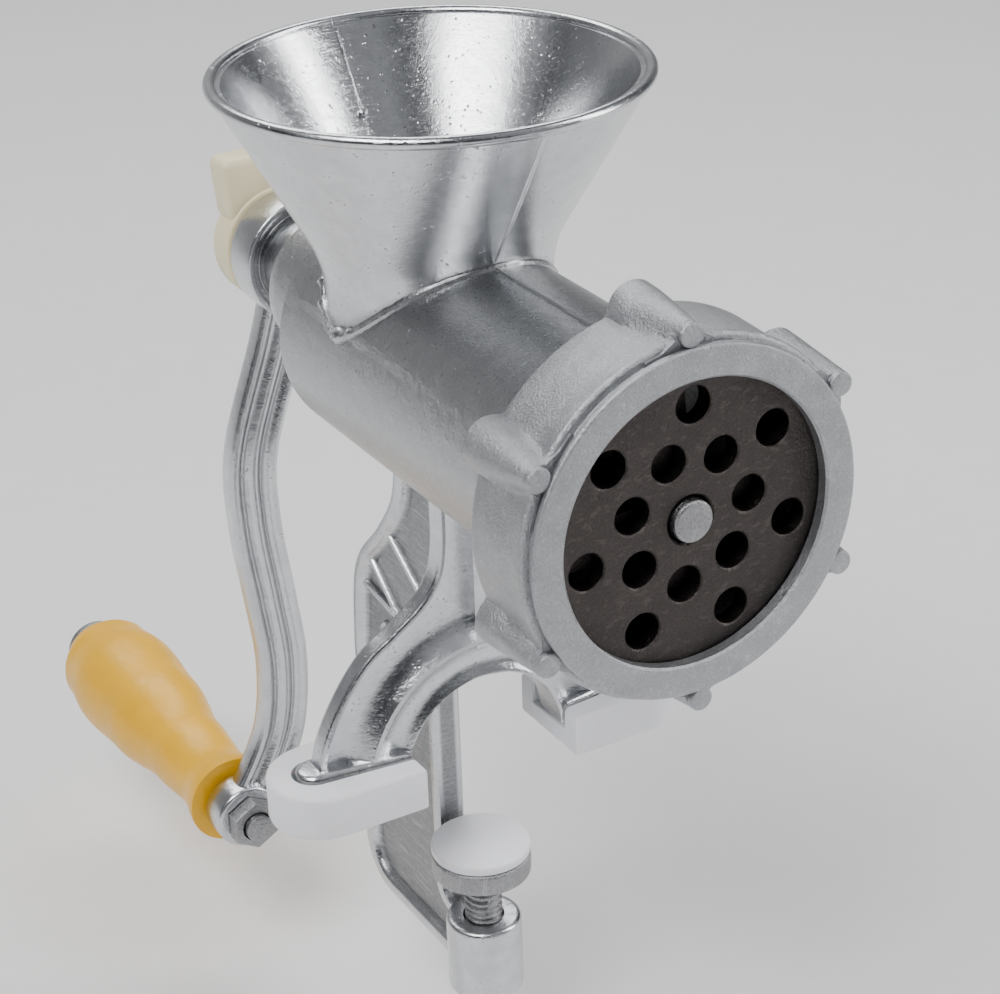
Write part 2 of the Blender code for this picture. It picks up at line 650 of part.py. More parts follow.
def cutting_set():
    knife = prism(knife_outline(), "Y", KNIFE_FRONT, KNIFE_BACK)
    hole = square_bar(KNIFE_SQUARE + 2 * TOUCH, KNIFE_FRONT - 5 * MM, KNIFE_BACK + 5 * MM)
    place("cutter_knife", cut(knife, hole), "plate_steel", DRIVE)

    plate = rod(PLATE_R, "Y", DRIVE, PLATE_FRONT, PLATE_BACK, ROUND, 0.4 * MM)
    low, high = PLATE_FRONT - 5 * MM, PLATE_BACK + 5 * MM
    cutters = [rod(PIN_R + RUN + TOUCH, "Y", DRIVE, low, high),
               rod(KEY_R + TOUCH, "Y", (0, 0, AXIS_HEIGHT - SEAT_R), low, high, 12)]
    for pitch, start in ((INNER_PITCH_R, INNER_START), (OUTER_PITCH_R, OUTER_START)):
        for hole in range(HOLES_PER_ROW):
            angle = start - tau * hole / HOLES_PER_ROW
            centre = (pitch * cos(angle), 0, AXIS_HEIGHT + pitch * sin(angle))
            cutters.append(rod(PLATE_HOLE_R, "Y", centre, low, high, 12))
    place("hole_plate", cut(plate, *cutters), "plate_steel", DRIVE)


def lug(index):
    """A half-round rib on the ring, leaning in towards the front, with a small button on its nose."""
    angle = LUG_START - tau * index / LUGS
    back = RING_FRONT + RING_LENGTH
    bm = bmesh.new()
    rows = []
    for y, crest in ((RING_FRONT + 0.8 * MM, LUG_FRONT), (back, LUG_BACK)):
        centre = crest - LUG_R
        row = [(centre + LUG_R * sin(pi * s / 8), -LUG_R * cos(pi * s / 8)) for s in range(9)]
        row += [(RING_APERTURE_R, LUG_R), (RING_APERTURE_R, -LUG_R)]
        rows.append([bm.verts.new((x, y, z)) for x, z in row])
    for i in range(len(rows[0])):
        j = (i + 1) % len(rows[0])
        bm.faces.new((rows[0][i], rows[0][j], rows[1][j], rows[1][i]))
    bm.faces.new(rows[0])
    bm.faces.new(rows[1])
    turn = Matrix.Translation(DRIVE) @ Matrix.Rotation(-angle, 4, "Y")
    bmesh.ops.transform(bm, matrix=turn, verts=bm.verts)
    centre = (BUTTON_AT * cos(angle), 0, AXIS_HEIGHT + BUTTON_AT * sin(angle))
    button = rod(BUTTON_R, "Y", centre, RING_FRONT + BUTTON_SET_BACK, RING_FRONT + 5 * MM, 10, 0.5 * MM)
    return [finish_bmesh(bm), button]


def ring_nut():
    back = RING_FRONT + RING_LENGTH
    seat = RING_FRONT + RING_LIP
    skirt_in = HEAD_R + THREAD
    outside = [(0, back), (RING_R, back), (RING_R, RING_FRONT + 3 * MM), (RING_FRONT_R, RING_FRONT + 1 * MM),
               (RING_FRONT_R - 1 * MM, RING_FRONT), (0, RING_FRONT)]
    inside = [(0, back + 5 * MM), (skirt_in, back + 5 * MM), (skirt_in, seat), (RING_APERTURE_R, seat),
              (RING_APERTURE_R, RING_FRONT - 5 * MM), (0, RING_FRONT - 5 * MM)]
    lugs = [solid for index in range(LUGS) for solid in lug(index)]
    ring = join(turned(outside, "Y", DRIVE, ROUND), *lugs)
    ring = cut(ring, turned(inside, "Y", DRIVE, ROUND))
    place("ring_nut", ring, "cast_aluminium", DRIVE)


# ---------------------------------------------------------------- crank, wing screw and grip

def crank_line():
    """The arm's middle line from hub to grip: a lazy S about the chord, as (x, z)."""
    along = Vector((-sin(CRANK_REST), -cos(CRANK_REST)))
    across = Vector((cos(CRANK_REST), -sin(CRANK_REST)))
    points = []
    for share, bow in ((0, 0), (0.13, -6), (0.33, -6.7), (0.46, -4), (0.60, 2.5), (0.72, 8), (0.84, 9.4),
                       (0.94, 5), (1, 0)):
        points.append(DRIVE.xz + along * CRANK_CHORD * share + across * bow * MM)
    return smooth_path(points, 3)


def swept_bar(path, half_width, front, back, groove):
    """A flat bar along a path in the XZ plane, with two shallow channels down its front and back."""
    bm = bmesh.new()
    across = (-1, -0.72, -0.5, -0.16, 0.16, 0.5, 0.72, 1)
    channel = (0, 0, 1, 0, 0, 1, 0, 0)
    rings = []
    for i, point in enumerate(path):
        run = (path[min(i + 1, len(path) - 1)] - path[max(i - 1, 0)]).normalized()
        normal = Vector((-run.y, run.x))
        ring = []
        for share, dip in zip(across, channel):
            spot = point + normal * half_width * share
            ring.append(bm.verts.new((spot.x, front + groove * dip, spot.y)))
        for share, dip in zip(reversed(across), reversed(channel)):
            spot = point + normal * half_width * share
            ring.append(bm.verts.new((spot.x, back - groove * dip, spot.y)))
        rings.append(ring)
    for near, far in zip(rings, rings[1:]):
        for i in range(len(near)):
            j = (i + 1) % len(near)
            bm.faces.new((near[i], near[j], far[j], far[i]))
    bm.faces.new(rings[0])
    bm.faces.new(rings[-1])
    return finish_bmesh(bm)


def crank_arm(drive):
    bar = swept_bar(crank_line(), ARM_WIDE / 2, ARM_FRONT, HUB_BACK, ARM_GROOVE)
    hub = rod(HUB_R, "Y", DRIVE, HUB_FRONT, HUB_BACK, 24, 1 * MM)
    nose = rod(HUB_NOSE_R, "Y", DRIVE, NECK_REAR + HUB_GAP, HUB_FRONT + 2 * MM, 24, 1 * MM)
    boss = rod(GRIP_BOSS_R, "Y", GRIP, ARM_FRONT - 1 * MM, HUB_BACK + 1 * MM, 20, 0.5 * MM)
    shaft = rod(SHAFT_R + TOUCH, "Y", DRIVE, NECK_REAR - 5 * MM, HUB_FRONT, 24)
    square = square_bar(DRIVE_SQUARE + 2 * TOUCH, HUB_FRONT - 1 * MM, HUB_BACK + 5 * MM)
    hole = rod(SPINDLE_R + TOUCH, "Y", GRIP, ARM_FRONT - 10 * MM, HUB_BACK + 10 * MM)
    place("crank_arm", cut(join(bar, hub, nose, boss), shaft, square, hole), "cast_aluminium", DRIVE, drive)


def wing_screw(parent):
    seat = HUB_BACK + TOUCH
    washer = tube(STUD_HEAD_R + 3 * MM, STUD_R + TOUCH, "Y", DRIVE, seat, seat + WASHER_THICK, 20)
    place("wing_screw_washer", washer, "turned_steel", DRIVE, parent)

    head_back = WING_SEAT + 7 * MM
    stud = join(rod(STUD_R, "Y", DRIVE, HUB_FRONT - 12 * MM, head_back, 12, 0.5 * MM),
                rod(STUD_HEAD_R, "Y", DRIVE, WING_SEAT + 2 * MM, WING_SEAT + 2 * MM + STUD_HEAD, 6))
    place("wing_screw_stud", stud, "turned_steel", DRIVE, parent)

    base = rod(WING_BASE_R, "Y", DRIVE, WING_SEAT, WING_SEAT + WING_BASE, 24, 1 * MM)
    half = [(WING_END_HALF, WING_TOP), (WING_MID_HALF, 0), (WING_END_HALF, -WING_TOP)]
    wing = [(x, AXIS_HEIGHT + z) for x, z in half] + [(-x, AXIS_HEIGHT + z) for x, z in reversed(half)]
    wings = prism(wing, "Y", WING_SEAT + 0.5 * MM, WING_SEAT + WING_DEPTH)
    socket = rod(STUD_HEAD_R + TOUCH, "Y", DRIVE, WING_SEAT - 5 * MM, head_back + TOUCH, 6)
    place("wing_screw_head", cut(join(base, wings), socket), "cream_plastic", DRIVE, parent)


def grip_radius(share):
    """Radius of the grip from its base at the crank, share 0, to its far end, share 1."""
    knots = ((0, GRIP_BASE_R), (0.12, GRIP_WAIST_R), (0.3, GRIP_WAIST_R + 1.2 * MM), (0.55, GRIP_R - 1.3 * MM),
             (0.75, GRIP_R), (0.9, GRIP_R - 1.8 * MM), (0.97, GRIP_R - 5.5 * MM), (1, CAP_R))
    for (a, low), (b, high) in zip(knots, knots[1:]):
        if share <= b:
            t = (share - a) / (b - a)
            return low + (high - low) * (1 - cos(pi * t)) / 2
    return CAP_R


def handle(drive, grip):
    end = GRIP_FRONT + GRIP_LENGTH
    hole = SPINDLE_R + RUN
    profile = [(hole, end)]
    profile += [(grip_radius(1 - step / 16), end - GRIP_LENGTH * step / 16) for step in range(17)]
    profile.append((hole, GRIP_FRONT))
    place("handle_grip", turned(profile, "Y", GRIP, 24, closed=True), "yellow_plastic", GRIP, grip)

    cap = rod(CAP_R, "Y", GRIP, end + TOUCH, end + TOUCH + CAP_THICK, 20, 0.8 * MM)
    cap = cut(cap, rod(SPINDLE_R + TOUCH, "Y", GRIP, end - 5 * MM, end + TOUCH + CAP_THICK / 2))
    place("grip_end_cap", cap, "turned_steel", GRIP, drive)

    nut_back = ARM_FRONT - 1 * MM - TOUCH
    nut = cut(rod(NUT_R, "Y", GRIP, nut_back - NUT_THICK, nut_back, 6, 0.6 * MM),
              rod(SPINDLE_R + THREAD, "Y", GRIP, nut_back - 20 * MM, nut_back + 5 * MM))
    place("grip_spindle_nut", nut, "turned_steel", GRIP, drive)

    spindle = rod(SPINDLE_R, "Y", GRIP, nut_back - NUT_THICK - 2 * MM, end + CAP_THICK / 2, SMALL, 0.5 * MM)
    collar = rod(SPINDLE_R + 2.5 * MM, "Y", GRIP, HUB_BACK + 1 * MM + TOUCH, GRIP_FRONT - TOUCH)
    place("grip_spindle", join(spindle, collar), "turned_steel", GRIP, drive)


# ---------------------------------------------------------------- clamp screw

def clamp_parts(pad_guide, screw_guide):
    pad_low = PAD_TOP - LINER_THICK - TOUCH - PAD_THICK
    well = pad_low + PAD_THICK - RIVET_THICK - TOUCH
    pad_high = pad_low + PAD_THICK
    pad_edge = 0.8 * MM
    pad = turned([(RIVET_R + TOUCH, pad_high), (PAD_R - pad_edge, pad_high), (PAD_R, pad_high - pad_edge),
                  (PAD_R, pad_low + pad_edge), (PAD_R - pad_edge, pad_low), (SPIGOT_R + RUN, pad_low),
                  (SPIGOT_R + RUN, well), (RIVET_R + TOUCH, well)], "Z", SCREW, 24, closed=True)
    place("clamp_pad", pad, "turned_steel", SCREW, pad_guide)

    liner = rod(PAD_R, "Z", SCREW, PAD_TOP - LINER_THICK, PAD_TOP, 24, 0.6 * MM)
    place("clamp_pad_liner", liner, "white_plastic", SCREW, pad_guide)

    handle_low = HANDLE_TOP - WING_HUB_HEIGHT
    pin_z = HANDLE_TOP - WING_HUB_HEIGHT / 2
    rivet_low = well + TOUCH
    screw = turned([(0, well + RIVET_THICK), (RIVET_R, well + RIVET_THICK), (RIVET_R, rivet_low),
                    (SPIGOT_R, rivet_low), (SPIGOT_R, pad_low - TOUCH), (SCREW_R, pad_low - TOUCH),
                    (SCREW_R, handle_low + 3 * MM), (0, handle_low + 3 * MM)], "Z", SCREW, SMALL)
    cross = rod(CROSS_PIN_R + TOUCH, "Y", (0, 0, pin_z), LEG_Y - 15 * MM, LEG_Y + 15 * MM, 10)
    place("clamp_screw", cut(screw, cross), "turned_steel", SCREW, screw_guide)

    hub = rod(WING_HUB_R, "Z", SCREW, handle_low, HANDLE_TOP, 20, 1 * MM)
    half = WING_SPAN / 2
    wing = [(-half, 3 * MM), (-half + 3 * MM, 0), (-6 * MM, 0), (6 * MM, 0), (half - 3 * MM, 0), (half, 3 * MM),
            (half, 9 * MM), (half - 3 * MM, 13 * MM), (6 * MM, 10 * MM), (-6 * MM, 10 * MM),
            (-half + 3 * MM, 13 * MM), (-half, 9 * MM)]
    wings = prism([(x, handle_low + 1 * MM + z) for x, z in wing], "Y", LEG_Y - WING_THICK / 2,
                  LEG_Y + WING_THICK / 2)
    socket = rod(SCREW_R + TOUCH, "Z", SCREW, handle_low + 3 * MM - TOUCH, HANDLE_TOP + 5 * MM)
    cross = rod(CROSS_PIN_R + TOUCH, "Y", (0, 0, pin_z), LEG_Y - 15 * MM, LEG_Y + 15 * MM, 10)
    place("clamp_wing_handle", cut(join(hub, wings), socket, cross), "cast_aluminium", SCREW, screw_guide)

    reach = WING_HUB_R - 0.5 * MM
    pin = rod(CROSS_PIN_R, "Y", (0, 0, pin_z), LEG_Y - reach, LEG_Y + reach, 10)
    place("clamp_handle_pin", pin, "turned_steel", SCREW, screw_guide)


def main():
    for old in list(bpy.data.objects):
        bpy.data.objects.remove(old)
    drive = guide("drive_axis", DRIVE)
    wing_axis = guide("wing_screw_axis", DRIVE, drive)
    grip_axis = guide("grip_axis", GRIP, drive)
    pad_guide = guide("clamp_pad_slide", SCREW)
    screw_guide = guide("clamp_screw_axis", SCREW, pad_guide)
    body_casting()
    shoes()
    bearing_pieces()
    auger()
    cutting_set()
    ring_nut()
    crank_arm(drive)
    wing_screw(wing_axis)
    handle(drive, grip_axis)
    clamp_parts(pad_guide, screw_guide)


main()
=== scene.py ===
"""Hand crank meat grinder: the finished pieces and a small studio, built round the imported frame.

Laid out as an add-on. Run as a script it makes every piece in order. Metres, +Z up, -Y to the front.
"""
import json
from math import asin, cos, pi, radians, sin, sqrt, tan, tau

import bmesh
import bpy
from bpy.props import FloatProperty, FloatVectorProperty, IntProperty, PointerProperty
from mathutils import Matrix, Vector, noise


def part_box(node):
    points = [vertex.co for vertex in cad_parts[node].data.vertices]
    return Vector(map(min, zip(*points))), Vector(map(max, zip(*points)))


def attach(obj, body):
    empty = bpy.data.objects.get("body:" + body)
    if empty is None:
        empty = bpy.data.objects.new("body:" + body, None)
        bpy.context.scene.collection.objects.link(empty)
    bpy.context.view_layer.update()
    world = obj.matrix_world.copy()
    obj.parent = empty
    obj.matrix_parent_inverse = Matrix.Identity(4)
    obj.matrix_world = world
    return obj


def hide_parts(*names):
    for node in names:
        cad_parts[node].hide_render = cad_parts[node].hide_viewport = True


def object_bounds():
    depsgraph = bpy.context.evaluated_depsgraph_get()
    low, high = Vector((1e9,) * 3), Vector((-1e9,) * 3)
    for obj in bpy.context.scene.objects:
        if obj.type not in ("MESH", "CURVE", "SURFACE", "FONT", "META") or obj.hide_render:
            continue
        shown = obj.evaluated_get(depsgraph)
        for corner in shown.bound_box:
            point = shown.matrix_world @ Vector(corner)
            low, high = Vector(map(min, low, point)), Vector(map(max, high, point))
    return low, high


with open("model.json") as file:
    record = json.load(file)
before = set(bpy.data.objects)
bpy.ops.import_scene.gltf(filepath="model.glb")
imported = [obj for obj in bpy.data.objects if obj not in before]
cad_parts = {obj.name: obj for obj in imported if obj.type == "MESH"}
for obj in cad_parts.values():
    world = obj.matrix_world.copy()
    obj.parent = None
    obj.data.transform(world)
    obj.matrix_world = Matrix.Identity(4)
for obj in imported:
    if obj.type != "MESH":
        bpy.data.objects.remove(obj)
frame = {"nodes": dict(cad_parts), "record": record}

bl_info = {
    "name": "Hand crank meat grinder",
    "version": (1, 0, 0),
    "blender": (4, 5, 0),
    "location": "3D View > Sidebar > Grinder",
    "description": "Builds the pieces of a hand crank meat grinder round its frame",
    "category": "Object",
}

MM = 0.001
CAD_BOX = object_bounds()


# ---------------------------------------------------------------- places read from the frame

def joint_point(name):
    """A point on a joint's axis, from the frame's record."""
    for joint in frame["record"]["behaviour"]["joints"]:
        if joint["name"] == name:
            return Vector(joint["pos_m"])
    raise RuntimeError("the frame has no joint called " + name)


def span(node, axis):
    """Lowest and highest place of a node along an axis."""
    low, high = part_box(node)
    return low["xyz".index(axis)], high["xyz".index(axis)]


DRIVE = Vector((0, 0, joint_point("crank_turn").z))
GRIP = Vector((joint_point("grip_spin").x, 0, joint_point("grip_spin").z))
SCREW = Vector((joint_point("clamp_screw_turn").x, joint_point("clamp_screw_turn").y, 0))
HEIGHT = DRIVE.z
HEAD_FRONT, NECK_REAR = span("body_casting", "y")
HOPPER_TOP = span("body_casting", "z")[1]
HOPPER_RIM_R = span("body_casting", "x")[1]
RING_FRONT, RING_BACK = span("ring_nut", "y")
PLATE_FRONT, PLATE_BACK = span("hole_plate", "y")
PLATE_R = span("hole_plate", "x")[1]
KNIFE_FRONT, KNIFE_BACK = span("cutter_knife", "y")
AUGER_FRONT, AUGER_BACK = span("auger", "y")
AUGER_R = span("auger", "x")[1]
CRANK_FRONT, CRANK_BACK = span("crank_arm", "y")
SHOE_BOTTOM, SHOE_TOP = span("left_shoe", "z")
SHOE_FRONT, SHOE_BACK = span("left_shoe", "y")
SHOE_IN, SHOE_OUT = span("right_shoe", "x")


# ---------------------------------------------------------------- settings

class GrinderSizes(bpy.types.PropertyGroup):
    """Sizes of the finish that the frame leaves open."""
    facets: IntProperty(name="Facets", description="Facets round the hopper and the barrel",
                        default=128, min=24, max=256)
    bead: FloatProperty(name="Saddle bead", description="Radius of the bead where hopper meets barrel",
                        default=1.15 * MM, subtype="DISTANCE", unit="LENGTH")
    parting: FloatProperty(name="Parting line", description="Half width of the ridge along the mould's joint",
                           default=0.45 * MM, subtype="DISTANCE", unit="LENGTH")
    flash: FloatProperty(name="Flash", description="How ragged the arch's untrimmed edge is",
                         default=0.5 * MM, subtype="DISTANCE", unit="LENGTH")
    screw_pitch: FloatProperty(name="Clamp thread pitch", description="Pitch of the clamp screw's thread",
                               default=2.0 * MM, subtype="DISTANCE", unit="LENGTH")
    ring_pitch: FloatProperty(name="Ring thread pitch", description="Pitch of the thread on the barrel's head",
                              default=3.0 * MM, subtype="DISTANCE", unit="LENGTH")
    flight_pitch: FloatProperty(name="Auger pitch", description="Distance between the auger's turns",
                                default=40.0 * MM, subtype="DISTANCE", unit="LENGTH")


class GrinderColours(bpy.types.PropertyGroup):
    """Base colours of the finishes."""
    casting: FloatVectorProperty(name="Casting", description="Bright tumbled aluminium",
                                 default=(0.68, 0.69, 0.71), subtype="COLOR", min=0, max=1)
    ring: FloatVectorProperty(name="Ring", description="Fine-grained aluminium of the ring",
                              default=(0.50, 0.51, 0.53), subtype="COLOR", min=0, max=1)
    plate: FloatVectorProperty(name="Plate", description="Darkened steel of plate and knife",
                               default=(0.085, 0.074, 0.070), subtype="COLOR", min=0, max=1)
    steel: FloatVectorProperty(name="Steel", description="Turned steel of screws and pins",
                               default=(0.40, 0.40, 0.41), subtype="COLOR", min=0, max=1)
    yellow: FloatVectorProperty(name="Grip", description="Yellow plastic of the grip",
                                default=(0.88, 0.46, 0.004), subtype="COLOR", min=0, max=1)
    cream: FloatVectorProperty(name="Wing screw", description="Cream plastic of the wing screw",
                               default=(0.84, 0.75, 0.50), subtype="COLOR", min=0, max=1)
    white: FloatVectorProperty(name="Shoes", description="Milky plastic of shoes and liner",
                               default=(0.86, 0.86, 0.90), subtype="COLOR", min=0, max=1)


# ---------------------------------------------------------------- mesh helpers

def tidy(bm, reach=1e-6):
    bmesh.ops.remove_doubles(bm, verts=bm.verts, dist=reach)
    bmesh.ops.recalc_face_normals(bm, faces=bm.faces)
    return bm


def chain(bm, points, closed=False):
    """Vertices and edges along points. Gives back both lists."""
    verts = [bm.verts.new(p) for p in points]
    edges = [bm.edges.new(pair) for pair in zip(verts, verts[1:])]
    if closed:
        edges.append(bm.edges.new((verts[-1], verts[0])))
    return verts, edges


def turned(profile, axis, centre, steps, closed=False):
    """A profile of (radius, place along the axis), spun about X, Y or Z through centre."""
    bm = bmesh.new()
    spin_axis = Vector([float(letter == axis) for letter in "XYZ"])
    out = Vector((1, 0, 0)) if axis == "Z" else Vector((0, 0, 1))
    base = Vector(centre) - Vector(centre).dot(spin_axis) * spin_axis
    verts, edges = chain(bm, [base + out * r + spin_axis * t for r, t in profile], closed)
    bmesh.ops.spin(bm, geom=verts + edges, cent=base, axis=spin_axis, angle=tau, steps=steps,
                   use_merge=True, use_duplicate=False)
    bmesh.ops.remove_doubles(bm, verts=bm.verts, dist=2e-6)
    bmesh.ops.dissolve_degenerate(bm, edges=bm.edges, dist=1e-7)
    return tidy(bm)


def softened(points, radius, steps=4):
    """A profile with each inner corner turned into an arc of about this radius."""
    result = [Vector(points[0])]
    for before, corner, after in zip(points, points[1:], points[2:]):
        before, corner, after = Vector(before), Vector(corner), Vector(after)
        reach = min(radius, (before - corner).length * 0.45, (after - corner).length * 0.45)
        start = corner + (before - corner).normalized() * reach
        end = corner + (after - corner).normalized() * reach
        for step in range(steps + 1):
            t = step / steps
            result.append((1 - t) ** 2 * start + 2 * t * (1 - t) * corner + t * t * end)
    result.append(Vector(points[-1]))
    return result


def bar(radius, axis, centre, low, high, edge, steps=48):
    """A solid round bar with rounded ends."""
    profile = softened([(0, high), (radius, high), (radius, low), (0, low)], edge)
    return turned(profile, axis, centre, steps)


def sleeve(outer, inner, axis, centre, low, high, edge, steps=64):
    """A tube with softened corners."""
    middle = ((outer + inner) / 2, high)
    profile = softened([middle, (outer, high), (outer, low), (inner, low), (inner, high), middle], edge, 3)
    return turned(profile[:-1], axis, centre, steps, closed=True)


def slab(outline, axis, low, high, edge=0.0, segments=3):
    """A flat outline pushed out along X, Y or Z, its rims rounded by edge."""
    bm = bmesh.new()
    index = "XYZ".index(axis)
    points = []
    for point in outline:
        place = [point[0], point[1]]
        place.insert(index, low)
        points.append(place)
    verts = [bm.verts.new(p) for p in points]
    face = bm.faces.new(verts)
    grown = bmesh.ops.extrude_face_region(bm, geom=[face])["geom"]
    shift = Vector((0, 0, 0))
    shift[index] = high - low
    bmesh.ops.translate(bm, vec=shift, verts=[g for g in grown if isinstance(g, bmesh.types.BMVert)])
    tidy(bm)
    if edge:
        rims = [e for e in bm.edges if abs(e.verts[0].co[index] - e.verts[1].co[index]) < 1e-7]
        bmesh.ops.bevel(bm, geom=rims, offset=edge, segments=segments, affect="EDGES", profile=0.5,
                        material=-1, clamp_overlap=True)
    return bm


def mitres(path, closed=False):
    """For each point of a flat path, its left-hand normal, lengthened so that a sweep keeps its width."""
    count = len(path)
    result = []
    for i, point in enumerate(path):
        before = path[i - 1] if i or closed else point
        after = path[(i + 1) % count] if i < count - 1 or closed else point
        runs = [(b - a).normalized() for a, b in ((before, point), (point, after)) if (b - a).length > 1e-9]
        mean = (runs[0] + runs[-1]).normalized()
        stretch = 1 / max(0.5, mean.dot(runs[0]))
        result.append(Vector((-mean.y, mean.x)) * stretch)
    return result


def swept(path, section, to_space, closed=False):
    """A closed section of (sideways, depth) carried along a flat path. to_space places (u, v, depth)."""
    bm = bmesh.new()
    normals = mitres(path, closed)
    rings = []
    for point, normal in zip(path, normals):
        rings.append([to_space(point + normal * a, b) for a, b in section])
    verts, edges = chain(bm, rings[0], closed=True)
    first_edges = list(edges)
    for ring in rings[1:]:
        grown = bmesh.ops.extrude_edge_only(bm, edges=edges)["geom"]
        fresh = {g for g in grown if isinstance(g, bmesh.types.BMVert)}
        verts = [next(e.other_vert(v) for e in v.link_edges if e.other_vert(v) in fresh) for v in verts]
        edges = [g for g in grown if isinstance(g, bmesh.types.BMEdge)
                 and g.verts[0] in fresh and g.verts[1] in fresh]
        for vert, place in zip(verts, ring):
            vert.co = place
    if closed:
        bmesh.ops.bridge_loops(bm, edges=first_edges + edges)
    else:
        bmesh.ops.holes_fill(bm, edges=first_edges + edges, sides=0)
    return tidy(bm)


def in_front_plane(depth_at):
    """Places a path's (x, z) with its depth along Y, about a middle plane."""
    return lambda point, depth: Vector((point.x, depth_at + depth, point.y))


def in_side_plane(point, depth):
    """Places a path's (y, z) with its depth along X, about the middle plane."""
    return Vector((depth, point.x, point.y))


def both_ways(half):
    """A section given for depths above zero, closed with its own mirror image below."""
    return list(half) + [(a, -b) for a, b in reversed(half)]


def twisted(outline_at, low, high, stations):
    """A bar along Y whose outline turns as it goes. outline_at gives the points at a place."""
    bm = bmesh.new()
    verts, edges = chain(bm, outline_at(low), closed=True)
    first = list(edges)
    for step in range(1, stations + 1):
        grown = bmesh.ops.extrude_edge_only(bm, edges=edges)["geom"]
        fresh = {g for g in grown if isinstance(g, bmesh.types.BMVert)}
        verts = [next(e.other_vert(v) for e in v.link_edges if e.other_vert(v) in fresh) for v in verts]
        edges = [g for g in grown if isinstance(g, bmesh.types.BMEdge)
                 and g.verts[0] in fresh and g.verts[1] in fresh]
        for vert, place in zip(verts, outline_at(low + (high - low) * step / stations)):
            vert.co = place
    bmesh.ops.holes_fill(bm, edges=first + edges, sides=0)
    return tidy(bm)


def threaded(core, depth, pitch, axis, centre, low, high, around=28):
    """A bar with one turn of thread in each pitch, its ends tapered to the core."""
    run_out = pitch * 0.9

    def outline(place):
        fade = min(1.0, (place - low) / run_out, (high - place) / run_out)
        points = []
        for i in range(around):
            angle = tau * i / around
            phase = (angle / tau - place / pitch) % 1.0
            crest = max(0.0, min(1.0, 2.4 * (1 - abs(2 * phase - 1)) - 0.6))
            radius = core + depth * crest * max(0.0, fade)
            points.append(Vector((radius * cos(angle), place, radius * sin(angle))))
        return points

    bm = twisted(outline, low, high, max(4, int((high - low) / pitch * 12)))
    if axis == "Z":
        bmesh.ops.rotate(bm, cent=(0, 0, 0), matrix=Matrix.Rotation(pi / 2, 3, "X"), verts=bm.verts)
    bmesh.ops.translate(bm, vec=centre, verts=bm.verts)
    return bm


def arc(centre, radius, start, end, steps):
    return [Vector((centre[0] + radius * cos(start + (end - start) * i / steps),
                    centre[1] + radius * sin(start + (end - start) * i / steps))) for i in range(steps + 1)]


def smooth_path(points, steps):
    """Points along a smooth curve through the given ones (Catmull-Rom)."""
    ends = [2 * Vector(points[0]) - Vector(points[1])] + [Vector(p) for p in points]
    ends.append(2 * Vector(points[-1]) - Vector(points[-2]))
    path = []
    for a, b, c, d in zip(ends, ends[1:], ends[2:], ends[3:]):
        for step in range(steps):
            t = step / steps
            path.append(0.5 * (2 * b + (c - a) * t + (2 * a - 5 * b + 4 * c - d) * t * t
                               + (3 * b - a - 3 * c + d) * t ** 3))
    path.append(ends[-2])
    return path


def raw_object(name, bm):
    mesh = bpy.data.meshes.new(name)
    bm.to_mesh(mesh)
    bm.free()
    piece = bpy.data.objects.new(name, mesh)
    bpy.context.scene.collection.objects.link(piece)
    return piece


def combined(base, others, operation):
    """Boolean of the base with each other shape in turn, as a new bmesh."""
    work = raw_object("work", base)
    for other in others:
        tool = raw_object("tool", other)
        change = work.modifiers.new(operation, "BOOLEAN")
        change.operation = operation
        change.solver = "EXACT"
        change.object = tool
        bpy.context.view_layer.update()
        mesh = bpy.data.meshes.new_from_object(work.evaluated_get(bpy.context.evaluated_depsgraph_get()))
        work.modifiers.clear()
        work.data = mesh
        bpy.data.objects.remove(tool)
        if not mesh.polygons:
            raise RuntimeError("a cut or a join of the casting came out empty")
    result = bmesh.new()
    result.from_mesh(work.data)
    bpy.data.objects.remove(work)
    return result


def joined(base, *others):
    return combined(base, others, "UNION")


def cut(base, *others):
    return combined(base, others, "DIFFERENCE")


def side_by_side(*shapes):
    """Several shapes in one bmesh, left as bodies of their own."""
    bm = bmesh.new()
    for shape in shapes:
        mesh = bpy.data.meshes.new("part")
        shape.to_mesh(mesh)
        shape.free()
        bm.from_mesh(mesh)
        bpy.data.meshes.remove(mesh)
    return bm


def finished(name, bm, material, body, nodes=(), sharp=32):
    """Makes the named piece and ties it to the frame."""
    bmesh.ops.dissolve_degenerate(bm, edges=bm.edges, dist=1e-7)
    bmesh.ops.triangulate(bm, faces=[f for f in bm.faces if len(f.verts) > 4])
    piece = raw_object(name, bm)
    piece.data.materials.clear()
    piece.data.materials.append(material)
    piece.data.shade_smooth()
    piece.data.set_sharp_from_angle(angle=radians(sharp))
    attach(piece, body)
    if nodes:
        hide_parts(*nodes)
    return piece


# ---------------------------------------------------------------- materials

def add_node(tree, kind, inputs=None, **settings):
    """A shader node. Inputs are values or sockets, by name or by number."""
    made = tree.nodes.new("ShaderNode" + kind)
    for name, value in settings.items():
        setattr(made, name, value)
    for key, value in (inputs or {}).items():
        if isinstance(value, bpy.types.NodeSocket):
            tree.links.new(value, made.inputs[key])
        else:
            made.inputs[key].default_value = value
    return made


def noise_at(tree, coords, scale, detail=4.0, roughness=0.55):
    return add_node(tree, "TexNoise", {"Vector": coords, "Scale": scale, "Detail": detail,
                                       "Roughness": roughness}).outputs["Fac"]


def spread(tree, value, low, high, to_low, to_high):
    """Maps low..high onto to_low..to_high, held at the ends."""
    return add_node(tree, "MapRange", {0: value, 1: low, 2: high, 3: to_low, 4: to_high}).outputs[0]


def sums(tree, operation, a, b):
    return add_node(tree, "Math", {0: a, 1: b}, operation=operation).outputs[0]


